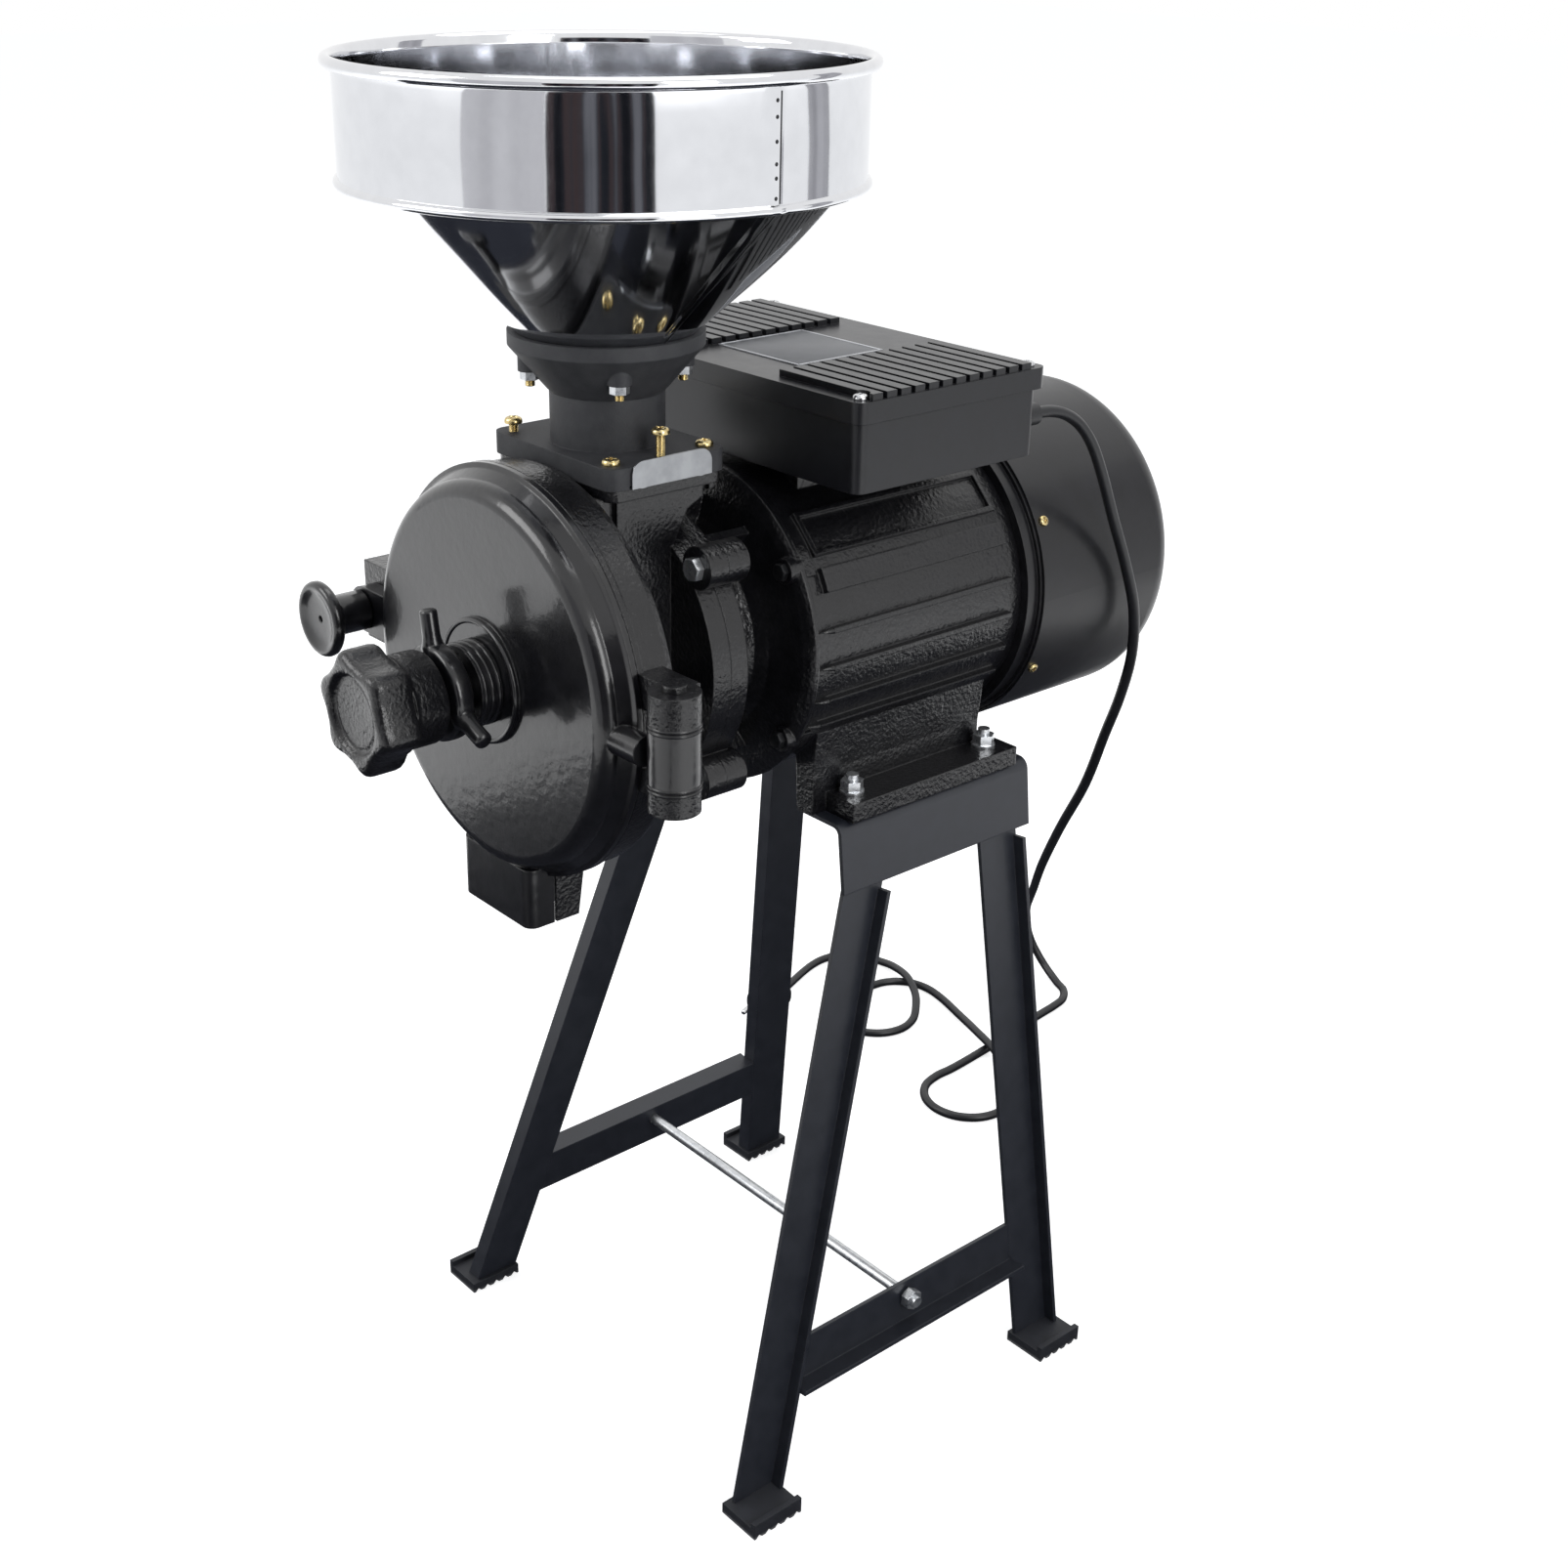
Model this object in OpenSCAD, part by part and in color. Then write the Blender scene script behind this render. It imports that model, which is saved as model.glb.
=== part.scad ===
// Electric disc mill for grain on a four-legged steel stand, with a hopper, a grinding head and a
// direct motor.
// X runs across the mill, Y runs along the shaft to the rear, Z is up; the origin is on the floor
// under the stand.

/* [Stand] */
// Height of the shaft above the floor
shaft_z = 565; // [560:1:570]
// Top of the stand, where the motor feet rest
stand_h = 450; // [446:1:452]
// Distance of a leg from the middle plane at the floor
leg_out = 155; // [152:1:158]
// How far a side frame leans inward for each unit of height
lean_share = 0.12; // [0.1:0.01:0.13]
// Length of a top bar
bar_l = 173; // [165:1:180]
// Width of a top bar's upright flange
bar_w = 48; // [44:1:52]
// Thickness of the stand's steel
steel_t = 3; // [2.5:0.5:3.5]
// Width of a leg's flat
leg_w = 35; // [30:1:37]
// How far a leg's lip stands out
leg_lip = 9; // [6:1:12]
// Height of a rubber foot
foot_h = 12; // [10:1:14]
// Height of a brace's upright flange
brace_h = 32; // [26:1:38]
// Diameter of the tie rod
rod_d = 8; // [6:1:9]

/* [Motor] */
// Radius of the motor body without its fins
body_r = 101; // [99:1:102]
// Height of a cooling fin
fin_h = 4.5; // [3:0.5:5]
// Wall of the motor body
body_wall = 8; // [7:1:9]
// Radius of the motor shaft in its front bearing
shaft_r = 12.5; // [11:0.5:13]
// Radius of the fan cover
fan_cover_r = 112; // [111:1:116]
// Length of the fan cover
fan_cover_l = 135; // [125:1:140]
// Distance between the two bolts of a motor foot
foot_bolt_gap = 121; // [110:1:126]

/* [Capacitor box] */
// Width of the box lid
lid_w = 252.6; // [246:0.2:256]
// Length of the box lid
lid_l = 157.6; // [152:0.2:160]
// Height of the box below its lid
box_h = 43; // [41:1:46]
// Wall of the box
box_wall = 3; // [2:0.5:4]
// Diameter of the power cord
cord_d = 7.5; // [6:0.5:8]

/* [Grinding head] */
// Radius of the joint between the housing and its cover
head_r = 125.5; // [124:0.5:127]
// Depth of the cover
cover_depth = 22; // [21:0.5:24]
// Wall of the castings
cast_t = 8; // [7:0.5:8.5]
// Radius of a grinding disc
disc_r = 85; // [75:1:90]
// Thickness of the fixed disc
fixed_t = 9; // [8:0.5:9]
// Bore of the feed barrel, as a radius
barrel_r = 36; // [34:1:37]
// Radius of the hand wheel over its lobes
wheel_r = 37; // [34:1:40]
// Radius of the adjusting screw
screw_r = 10; // [9:0.5:11]
// Radius of a hinge knuckle
knuckle_r = 15; // [13:0.5:16]

/* [Hopper and inlet] */
// Radius of the hopper to the outside of its bead
hopper_r = 150; // [145:1:155]
// Height of the hopper's upright band
band_h = 64; // [55:1:75]
// Sheet thickness of the hopper
sheet_t = 1.2; // [1:0.1:1.4]
// Width of the inlet flange
flange_w = 119; // [117:1:121]
// Length of the inlet flange
flange_l = 86; // [84:1:88]
// Outer radius of the inlet neck
neck_r = 34; // [33:0.5:35]
// Outer radius of the ring that holds the hopper
collar_r = 57.5; // [56:0.5:59]
// Travel of the slide gate
gate_travel = 62; // [50:1:62]

/* [Hidden] */

// Shape of the motor's front shield, as steps out from its neck's radius and back from its face
shield_curve = [[4, 3], [0, 8], [0, 20], [5, 28], [13, 33], [25, 36], [38, 38]];
shield_edge = 3;
shield_shoulder = 4.5;
shield_ribs = [58, 90, 122, 238, 270, 302];
shield_rib_t = 6;
shield_rib_in = 6;
shield_rib_back = 5;
shield_bolt_t = 3;
shield_in_step = 18;
shield_in_flare = 8;
shield_in_rise = 9;
shield_wall = 6;
tie_lug_l = 10;
tie_thread_l = 18;
tie_head_t = 4;
tie_head_af = 10;
rear_wall = 6;
spigot_wall = 8;
fan_hole_l = 24;
seat_strut_at = 34;
rod_tail = 10;
core_gap = 4;
tail_over = 4;
fan_disc_t = 3;
fan_disc_in = 6;
fan_blade_t = 3;
fan_screw_hole = 8;
fan_screw_l = 7;
fan_head_t = 2.2;
fan_head_r = 3.6;
lid_screw_l = 22;
lid_thread_r = 2;
plug_h = 20;

// Edges and walls of the grinding housing, its feed throat and its chute
chute_slope = 6;
chute_top = 42;
rim_round = [[1.5, 8], [3, 3.5], [6, 1], [11, 0]];
barrel_wall = 10;
throat_back_step = 20;
throat_back_rise = 30;
throat_front = 41;
throat_front_z = 676;
throat_low_z = 672;
seat_t = 7;
seat_inset = 3;
barrel_over = 4;
throat_bore_l = 17;
throat_in_half = 24;
throat_in_front = 27;
throat_in_slope = 21;
throat_in_low = 12;
throat_in_top = 10;
stud_room = 0.5;
flange_hole_l = 60;
head_bolt_t = 5.5;
disc_eye = 10;
disc_screw_turns = [90, 210, 330];
disc_screw_head = 4;
disc_screw_gap = 1;
disc_slot_turns = [30, 150, 270];
auger_root = 7;
auger_side = 5;
auger_tip = 3;
auger_slices = 60;
auger_sides = 12;

// Small lengths of the inlet, the hopper and its bolts
spot_t = 9;
bolt_hole_l = 30;
spot_cut_t = 12;
gate_room = 0.5;
gate_lift = 0.4;
gate_out = 0.6;
wall_end = 3;
bolt_head_lift = 9;
nut_under = 4;
bolt_head_t = 3;

// Small lengths of the cover, the wheel and the knob
cover_edge = 3;
guide_skin = 5;
chute_in = 20;
chute_mouth = 10;
chute_skin = 5;
lobe_web = 4;
ring_arm_turns = [0, 120, 240];
knob_dish = 3;
knob_dish_r = 4;
knob_hole_l = 10;
knob_hole_r = 2;
nut_sides = 6;
tooth_sides = 4;
leg_hole_share = 10;

$fn = 96;
cut = 2;            // overrun of a cut past the face that it opens
fit = 0.05;         // radial clearance of a running or seated fit
gap = 0.3;          // clearance between faces that move past each other
seat = 0.1;         // clearance of a part that is seated in another

// Stand
lean = atan(lean_share);
bar_y0 = -10;
bar_round = 8;
bar_inner = 34;     // width of the top bar's level flange past the bend
leg_top_z = stand_h - steel_t - 1;
lip_top_z = stand_h - bar_w - 2;
front_low_y = -120;
front_rake_share = 0.315;
rear_low_y = 172;
rear_rake_share = 0.054;
rake_z = 50;
foot_seat_z = 8;
foot_in = 148;
foot_out = 181;
foot_front_y = -139;
foot_rear_y = 137.5;
foot_l = 41;
foot_rim = 4;
foot_teeth = 5;
foot_tooth = 2.5;
brace_z = 71;
brace_lip = 14;
rod_y = 31;
rod_z = 91;
rod_nut_af = 13;
nut_h = 6.5;
rod_nut_x = leg_out - lean_share * (rod_z - rod_nut_af * 0.6) + gap;
rod_end = 3;
function front_y(z) = front_low_y - (rake_z - z) * front_rake_share;
function rear_y(z) = rear_low_y + (rake_z - z) * rear_rake_share;

// Positions along the shaft
joint_y = -183;
housing_back_y = -154;
back_wall_y = housing_back_y - cast_t;
flange_front_y = -103.5;
shield_front_y = -89.7;
shield_neck_y = -76.8;
body_front_y = -32.5;
body_rear_y = 148;
fan_rim_y = 159;
fan_rear_y = fan_rim_y + fan_cover_l;
cover_front_y = joint_y - cover_depth;
inlet_y = -111;

// Motor
fin_t = 3.4;
fin_angles = [10, -3, -16, -27];
fin_end = 12;
bar_fin_at = 27;
bar_fin_w = 15;
frame_fin_at = 44;
foot_plate_in = 72;
foot_plate_out = 106;
foot_plate_y0 = -1;
foot_plate_l = 150;
foot_plate_t = 13;
saddle_y0 = -13;
saddle_l = 150;
saddle_in = 66;
saddle_out = 80;
saddle_bend_z = 478;
saddle_top_x = 84;
saddle_top_in = 62;
saddle_top_z = 514;
foot_bolt_x = 89;
foot_bolt_y = 13;
bolt_r = 4;
bolt_af = 13;
washer_r = 8;
washer_t = 1.6;
bolt_end = 4;
bearing_r = 26;
bearing_w = 15;
front_bearing_y = -69;
rear_bearing_y = 145;
rear_shaft_r = 10;
fat_shaft_r = 16;
rotor_r = 59.5;
stator_in_r = 60;
core_y0 = 11;
core_y1 = 105;
coil_l = 20;
coil_in_r = 66;
coil_out_r = 90;
shield_ring_r = 90;
shield_neck_r = 58;
shield_rim_r = 104.5;
lug_r = 13;
head_bolt_x = 74;
head_bolt_z = 67;
tie_angles = [34, 146, 214, 326];
tie_at_r = 97;
tie_lug_r = 8;
lug_step = 1;
tie_screw_r = 3;
fan_wall = 1.6;
fan_round = 20;
fan_y0 = 181;
fan_l = 34;
fan_hub_r = 22;
fan_tip_r = 92;
fan_blades = 8;
vent_slots = 16;
vent_in_r = 30;
vent_out_r = 82;
vent_w = 6;
fan_screw_y = 166;
fan_screw_angles = [27, 153, 207, 333];
fan_screw_r = 1.5;
spigot_y1 = 175;
spigot_r = fan_cover_r - fan_wall - seat;

// Capacitor box
lid_y = 50.8;
box_z = 672;
lid_z0 = 714;
lid_plate_z = 727;
rib_top_z = 731;
lid_t = 3;
box_in = 3.5;
box_corner = 7;
rib_count = 12;
rib_w = 8;
rib_in = 45;
rib_margin = 11;
boss_r = 6;
lid_screw_at = 9;
lid_screw_r = 4.6;
lid_screw_h = 3;
cap_r = 17;
cap_l = 92;
cap_gap = 50;
label_w = 76;
label_l = 71;
label_t = 0.8;
label_x = -5;
label_y = 44.5;
pad_half_w = 46;
pad_half_l = 52;
gland_x = 112;
gland_z = 694;
gland_r = 7;
gland_l = 10;
box_rear_y = lid_y + lid_l / 2 - box_in;

// Grinding head
cover_front_r = 118;
cover_round = 10;
lip_t = 4;
cavity_r = 112;
ring_low_r = 38;
ring_low_t = 3;
stem_boss_r = 25;
stem_boss_l = 17;
hinge_x = 152.5;
pin_r = 5;
hinge_low_z = 530;
hinge_arm_z0 = 545;
hinge_arm_z1 = 580;
hinge_top_z = 600;
pin_z0 = 527;
pin_z1 = 604;
arm_x = 112;
arm_t = 18;
arm_rod_r = 9;
throat_half_w = 50;
throat_top_z = 682;
throat_bend_z = 640;
throat_rear_y = -71;
slope_y = -108;
chute_half_w = 36;
chute_low_z = 412;
chute_front_y = -202;
chute_back_y = -165;
chute_wall = 2.5;
chute_slit = 1.5;
chute_corner = 7;
disc_bore_r = 32;
tooth_count = 20;
tooth_w = 2.5;
tooth_d = 1.5;
disc_screw_at = 46;
disc_screw_r = 3;
plate_y0 = -194.5;
plate_t = 5;
plate_r = 60;
guide_x = 45;
guide_r = 4;
guide_l = 5;
fixed_y0 = plate_y0 + plate_t;
fixed_y1 = fixed_y0 + fixed_t;
turning_y0 = fixed_y1 + 0.5;
turning_t = 8;
turning_y1 = turning_y0 + turning_t;
turning_hub_r = 20;
turning_ring_r = 38;
spoke_w = 10;
disc_nut_t = 6;
disc_nut_af = 28;
shaft_tip_y = turning_y0 - disc_nut_t - 1;
auger_y0 = turning_y1 + gap;
auger_y1 = -100;
auger_hub_r = 17;
auger_r = 33;
auger_pitch = 32;
auger_turn = -360 * (auger_y1 - auger_y0) / auger_pitch;
wheel_y0 = -294;
wheel_rim_y1 = -268;
wheel_hub_r = 28;
wheel_hub_y1 = -244;
wheel_recess_r = 24;
wheel_recess = 3;
wheel_lobes = 6;
lobe_r = 10;
ring_r = 29;
ring_y0 = -241;
ring_y1 = -229;
ring_arm_r = 5.3;
ring_arm_l = 49;
ring_arm_at = 10;
latch_x = -152;
latch_disc_r = 24.5;
latch_face_y = -229;
latch_disc_y = -221;
latch_hub_r = 13;
latch_tip_y = -172;
stud_r = 6;
ear_y0 = -194.7;
ear_half_h = 15;
lug_z0 = 540;
lug_z1 = 592;
lug_y1 = -159;
lug_x = -168;

// Inlet and hopper
flange_z1 = 695;
flange_z0 = throat_top_z;
flange_corner = 9;
bore_r = 28;
cone_z0 = 727;
cone_r0 = 36;
collar_z0 = 752;
collar_z1 = 760;
rim_z = 908;
rim_roll = 3.5;
bead_roll = 2.5;
bead_z = rim_z - band_h;
band_r = hopper_r - bead_roll;
cone_share = (band_r - 53) / (bead_z - collar_z1);
hopper_low_z = 741;
function hopper_cone_r(z) = 53 + cone_share * (z - collar_z1);
hopper_bolt_at = 45;
hopper_bolt_angles = [-28, 62, 152, 242];
hopper_bolt_r = 3;
hopper_nut_af = 10;
hopper_nut_t = 5;
spot_z = 737;
spot_r = 7;
screw_x = 48;
screw_dy = 34;
flange_screw_r = 2.9;
flange_head_r = 5.4;
flange_head_h = 3.6;
flange_screw_reach = 22;
raised = 5;
gate_t = 1.2;
gate_slot_z = 684.2;
gate_half_l = 29;
gate_in = -38;
tab_top_z = 698;
tab_r = 8;
gate_screw_x = 50;
gate_screw_head_z = 708;

// Revolves a profile of radius and place about the shaft's line
module about_shaft() { translate([0, 0, shaft_z]) rotate([-90, 0, 0]) rotate_extrude() children(); }

// A cylinder along the shaft's direction from y0 to y1 at x and z
module ycyl(y0, y1, r, x = 0, z = shaft_z) {
    translate([x, y0, z]) rotate([-90, 0, 0]) cylinder(h = y1 - y0, r = r);
}

// A cylinder across the mill from x0 to x1
module xcyl(x0, x1, r, y, z) { translate([x0, y, z]) rotate([0, 90, 0]) cylinder(h = x1 - x0, r = r); }

// An upright cylinder from z0 to z1
module zcyl(z0, z1, r, x, y) { translate([x, y, z0]) cylinder(h = z1 - z0, r = r); }

// A straight box from one corner to the other
module box(a, b) { translate(a) cube(b - a); }

// A prism along the shaft's direction from a shape in X and Z
module along_y(y0, y1) { translate([0, y1, 0]) rotate([90, 0, 0]) linear_extrude(y1 - y0) children(); }

// A prism across the mill from a shape in Y and Z
module along_x(x0, x1) { translate([x0, 0, 0]) rotate([90, 0, 90]) linear_extrude(x1 - x0) children(); }

// A flat shape with round corners, drawn about its middle
module rounded(w, l, r) {
    square([w - 2 * r, l], center = true);
    square([w, l - 2 * r], center = true);
    for (x = [-1, 1], y = [-1, 1]) translate([x * (w / 2 - r), y * (l / 2 - r)]) circle(r);
}

// A hexagon by its width over the flats
module hexagon(af) { circle(d = af / cos(180 / nut_sides), $fn = nut_sides); }

// Draws its children at an angle and radius about the shaft, without turning them
module at_angle(a, r) { translate([r * cos(a), 0, r * sin(a)]) children(); }

// The leaning plane of the right side frame, with its outer face at no offset
module leaning() { translate([leg_out, 0, 0]) rotate([0, -lean, 0]) children(); }

// A top bar bent from steel, on the right
bend_z = stand_h - bar_round;
bend_x = leg_out + (steel_t - bar_round) / cos(lean) - lean_share * bend_z;
module bar() {
    big = 2 * bar_round;
    along_y(bar_y0, bar_y0 + bar_l) translate([bend_x, bend_z]) {
        translate([-bar_inner, bar_round - steel_t]) square([bar_inner, steel_t]);
        rotate(lean) translate([bar_round - steel_t, bar_round - bar_w]) square([steel_t,
            bar_w - bar_round + gap]);
        intersection() {
            difference() {
                circle(bar_round);
                circle(bar_round - steel_t);
            }
            polygon([[0, 0], [0, big], [big, big], [big * cos(lean), big * sin(lean)]]);
        }
    }
}
module drilled_bar() {
    difference() {
        bar();
        for (y = [0, foot_bolt_gap]) zcyl(bend_z, stand_h + cut, bolt_r + gap, foot_bolt_x,
            foot_bolt_y + y);
    }
}
module bar_right() { color("#23252b") drilled_bar(); }
module bar_left() { color("#23252b") mirror([1, 0, 0]) drilled_bar(); }

// A leg between two raked edges, given by their front edge's function of height; the lip stands at
// one edge
module leg(rear, lip_at_rear) {
    function edge(z) = rear ? rear_y(z) - leg_w : front_y(z);
    function lip(z) = edge(z) + (lip_at_rear ? leg_w - steel_t : 0);
    difference() {
        leaning() {
            along_x(-steel_t, 0) polygon([
                [edge(0), 0], [edge(0) + leg_w, 0], [edge(leg_top_z) + leg_w, leg_top_z],
                    [edge(leg_top_z), leg_top_z]]);
            along_x(-steel_t, leg_lip) polygon([
                [lip(0), 0], [lip(0) + steel_t, 0], [lip(lip_top_z) + steel_t, lip_top_z],
                    [lip(lip_top_z), lip_top_z]]);
        }
        box([0, -2 * hopper_r, -foot_h], [2 * hopper_r, 2 * hopper_r, foot_seat_z]);
    }
}
module leg_front_right() { color("#23252b") leg(false, true); }
module leg_rear_right() { color("#23252b") leg(true, true); }
module leg_front_left() { color("#23252b") mirror([1, 0, 0]) leg(false, false); }
module leg_rear_left() { color("#23252b") mirror([1, 0, 0]) leg(true, false); }

// A rubber foot with a rim round the leg and teeth below
module foot(y0) {
    pitch = foot_l / foot_teeth;
    difference() {
        union() {
            box([foot_in, y0, 0], [foot_out, y0 + foot_l, foot_seat_z]);
            box([foot_out - foot_rim, y0, 0], [foot_out, y0 + foot_l, foot_h]);
        }
        for (i = [0:foot_teeth - 1]) translate([foot_in - cut, y0 + (i + 1 / 2) * pitch, 0])
            rotate([0, 90, 0]) cylinder(h = foot_out - foot_in + 2 * cut, r = foot_tooth, $fn = tooth_sides);
    }
}
module foot_front_right() { color("#1d1f24") foot(foot_front_y); }
module foot_rear_right() { color("#1d1f24") foot(foot_rear_y); }
module foot_front_left() { color("#1d1f24") mirror([1, 0, 0]) foot(foot_front_y); }
module foot_rear_left() { color("#1d1f24") mirror([1, 0, 0]) foot(foot_rear_y); }

// A brace between the two legs of the right side, its lip from one height to another
module brace(lip_z) {
    function y0(z) = front_y(z) + leg_w;
    function y1(z) = rear_y(z) - leg_w;
    top = brace_z + brace_h;
    lip_top = lip_z + steel_t;
    difference() {
        leaning() {
            along_x(-steel_t, 0) polygon([[y0(brace_z), brace_z], [y1(brace_z), brace_z], [y1(top),
                top], [y0(top), top]]);
            along_x(-steel_t, brace_lip) polygon([
                [y0(lip_z), lip_z], [y1(lip_z), lip_z], [y1(lip_top), lip_top], [y0(lip_top), lip_top]]);
        }
        xcyl(leg_out - leg_hole_share * steel_t, leg_out, rod_d / 2 + gap, rod_y, rod_z);
    }
}
module brace_right() { color("#23252b") brace(brace_z); }
module brace_left() { color("#23252b") mirror([1, 0, 0]) brace(brace_z + brace_h - steel_t); }
module tie_rod() {
    half = rod_nut_x + nut_h + rod_end;
    color("#c9cacb") xcyl(-half, half, rod_d / 2, rod_y, rod_z);
}
module tie_rod_nuts() {
    color("#c9cacb") for (side = [0, 1]) mirror([side, 0, 0]) translate([rod_nut_x, rod_y, rod_z])
        rotate([0, 90, 0]) linear_extrude(nut_h) difference() {
            hexagon(rod_nut_af);
            circle(rod_d / 2 + fit);
        }
}

// Fasteners of the motor feet
module at_motor_feet() {
    for (x = [-1, 1], y = [0, 1]) translate([x * foot_bolt_x, foot_bolt_y + y * foot_bolt_gap,
        0]) children();
}
module motor_bolts() {
    head_z = stand_h - steel_t - nut_h;
    top = stand_h + foot_plate_t + washer_t + nut_h + bolt_end;
    color("#c9cacb") at_motor_feet() {
        translate([0, 0, head_z]) linear_extrude(nut_h) hexagon(bolt_af);
        translate([0, 0, head_z]) cylinder(h = top - head_z, r = bolt_r);
    }
}
module motor_nuts() {
    z0 = stand_h + foot_plate_t;
    color("#c9cacb") at_motor_feet() difference() {
        union() {
            translate([0, 0, z0]) cylinder(h = washer_t, r = washer_r);
            translate([0, 0, z0 + washer_t]) linear_extrude(nut_h) hexagon(bolt_af);
        }
        translate([0, 0, z0 - cut]) cylinder(h = nut_h + washer_t + 2 * cut, r = bolt_r + fit);
    }
}

// Motor body with fins, a foot on each side and a seat for the capacitor box
module saddle() {
    along_y(saddle_y0, saddle_y0 + saddle_l) polygon([
        [saddle_in, stand_h], [saddle_out, stand_h], [saddle_out, saddle_bend_z],
        [saddle_top_x, saddle_top_z], [saddle_top_in, saddle_top_z]]);
}
module motor_body() {
    y0 = body_front_y + fin_end;
    y1 = body_rear_y - fin_end;
    color("#17181b") difference() {
        union() {
            ycyl(body_front_y, body_rear_y, body_r);
            for (side = [0, 1]) mirror([side, 0, 0]) {
                for (a = fin_angles) translate([0, 0, shaft_z]) rotate([0, -a, 0])
                    box([body_r - cut, y0, -fin_t / 2], [body_r + fin_h, y1, fin_t / 2]);
                translate([0, 0, shaft_z]) rotate([0, -bar_fin_at, 0])
                    box([body_r - cut, y0, -bar_fin_w / 2], [body_r + fin_h, y1, bar_fin_w / 2]);
                translate([0, 0, shaft_z]) rotate([0, -frame_fin_at, 0]) difference() {
                    box([body_r - cut, y0, -bar_fin_w], [body_r + fin_h / 2, y1, bar_fin_w]);
                    box([body_r - cut, y0 + fin_t, fin_t - bar_fin_w], [body_r + fin_h, y1 - fin_t,
                        bar_fin_w - fin_t]);
                }
                for (a = [seat_strut_at, -seat_strut_at]) translate([0, 0, shaft_z]) rotate([0, -a, 0])
                    box([body_r - cut, body_front_y + lug_step, -tie_lug_r], [body_r + fin_h / 2,
                        y0 - fin_t, tie_lug_r]);
                saddle();
                box([foot_plate_in, foot_plate_y0, stand_h],
                    [foot_plate_out, foot_plate_y0 + foot_plate_l, stand_h + foot_plate_t]);
            }
            box([-pad_half_w, lid_y - pad_half_l, shaft_z], [pad_half_w, lid_y + pad_half_l, box_z]);
        }
        ycyl(body_front_y - cut, body_rear_y + cut, body_r - body_wall);
        at_motor_feet() translate([0, 0, stand_h - cut]) cylinder(h = foot_plate_t + 2 * cut,
            r = bolt_r + gap);
        tie_holes(body_front_y - cut, body_front_y + 2 * fin_end);
        tie_holes(body_rear_y - 2 * fin_end, body_rear_y + cut);
    }
}
module tie_holes(y0, y1) { for (a = tie_angles) at_angle(a, tie_at_r) ycyl(y0, y1, tie_screw_r + fit); }

// Places of the four bolts that hold the grinding head
module at_head_bolts() { for (x = [-1, 1], z = [-1, 1]) translate([x * head_bolt_x, 0,
    z * head_bolt_z]) children(); }
module front_shield() {
    inner_y = front_bearing_y + bearing_w;
    color("#141518") difference() {
        union() {
            about_shaft() polygon(concat(
                [[0, shield_front_y], [shield_ring_r, shield_front_y], [shield_ring_r, shield_neck_y]],
                [for (p = shield_curve) [shield_neck_r + p[0], shield_neck_y + p[1]]],
                [[shield_rim_r - shield_edge, body_front_y - shield_shoulder],
                    [shield_rim_r, body_front_y - shield_edge], [shield_rim_r, body_front_y],
                    [0, body_front_y]]));
            at_head_bolts() ycyl(shield_front_y, shield_neck_y + shield_bolt_t, lug_r);
            for (a = tie_angles) at_angle(a, tie_at_r)
                ycyl(body_front_y - tie_lug_l, body_front_y, tie_lug_r);
            for (a = shield_ribs) translate([0, 0, shaft_z]) rotate([0, -a, 0])
                box([shield_neck_r - cut, shield_neck_y - cut, -shield_rib_t / 2],
                    [shield_ring_r - shield_rib_in, body_front_y - shield_rib_back, shield_rib_t / 2]);
        }
        about_shaft() polygon([
            [0, inner_y], [shield_neck_r - shield_in_step, inner_y],
            [shield_neck_r - shield_in_flare, inner_y + shield_in_rise],
            [body_r - body_wall - shield_wall, body_front_y - shield_edge],
            [body_r - body_wall - shield_wall, body_front_y + cut], [0, body_front_y + cut]]);
        ycyl(shield_front_y - cut, body_front_y, shaft_r + 2 * gap);
        ycyl(front_bearing_y, body_front_y, bearing_r + fit);
        at_head_bolts() ycyl(shield_front_y - cut, shield_neck_y + shield_bolt_t + cut, bolt_r + fit);
        tie_holes(body_front_y - tie_lug_l - cut, body_front_y + cut);
    }
}
module rear_shield() {
    color("#101113") difference() {
        union() {
            ycyl(body_rear_y, fan_rim_y, shield_rim_r + shield_edge);
            ycyl(fan_rim_y - cut, spigot_y1, spigot_r);
        }
        ycyl(body_rear_y - cut, spigot_y1 + cut, rear_shaft_r + 2 * gap);
        ycyl(body_rear_y - cut, rear_bearing_y + bearing_w, bearing_r + fit);
        difference() {
            ycyl(rear_bearing_y + bearing_w + rear_wall, spigot_y1 + cut, spigot_r - spigot_wall);
            ycyl(rear_bearing_y, spigot_y1 + 2 * cut, bearing_r + spigot_wall);
        }
        tie_holes(body_rear_y - cut, rear_bearing_y + bearing_w + rear_wall + cut);
        at_fan_screws() cylinder(h = fan_hole_l, r = fan_screw_r + fit, center = true);
    }
}
module shield_screws() {
    y0 = body_front_y - tie_lug_l;
    color("#3a3b3e") for (a = tie_angles) at_angle(a, tie_at_r) {
        ycyl(y0, body_front_y + tie_thread_l, tie_screw_r);
        translate([0, y0, shaft_z]) rotate([90, 0, 0]) linear_extrude(tie_head_t) hexagon(tie_head_af);
    }
}
module stator_core() {
    color("#6d7075") about_shaft() translate([stator_in_r, core_y0])
        square([body_r - body_wall - seat - stator_in_r, core_y1 - core_y0]);
}
module stator_windings() {
    color("#b06a35") for (y = [core_y0 - coil_l, core_y1]) about_shaft()
        translate([coil_in_r, y]) square([coil_out_r - coil_in_r, coil_l]);
}
module rotor_core() {
    color("#83868a") about_shaft() translate([fat_shaft_r + fit, core_y0 - core_gap])
        square([rotor_r - fat_shaft_r - fit, core_y1 - core_y0 + 2 * core_gap]);
}
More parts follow.
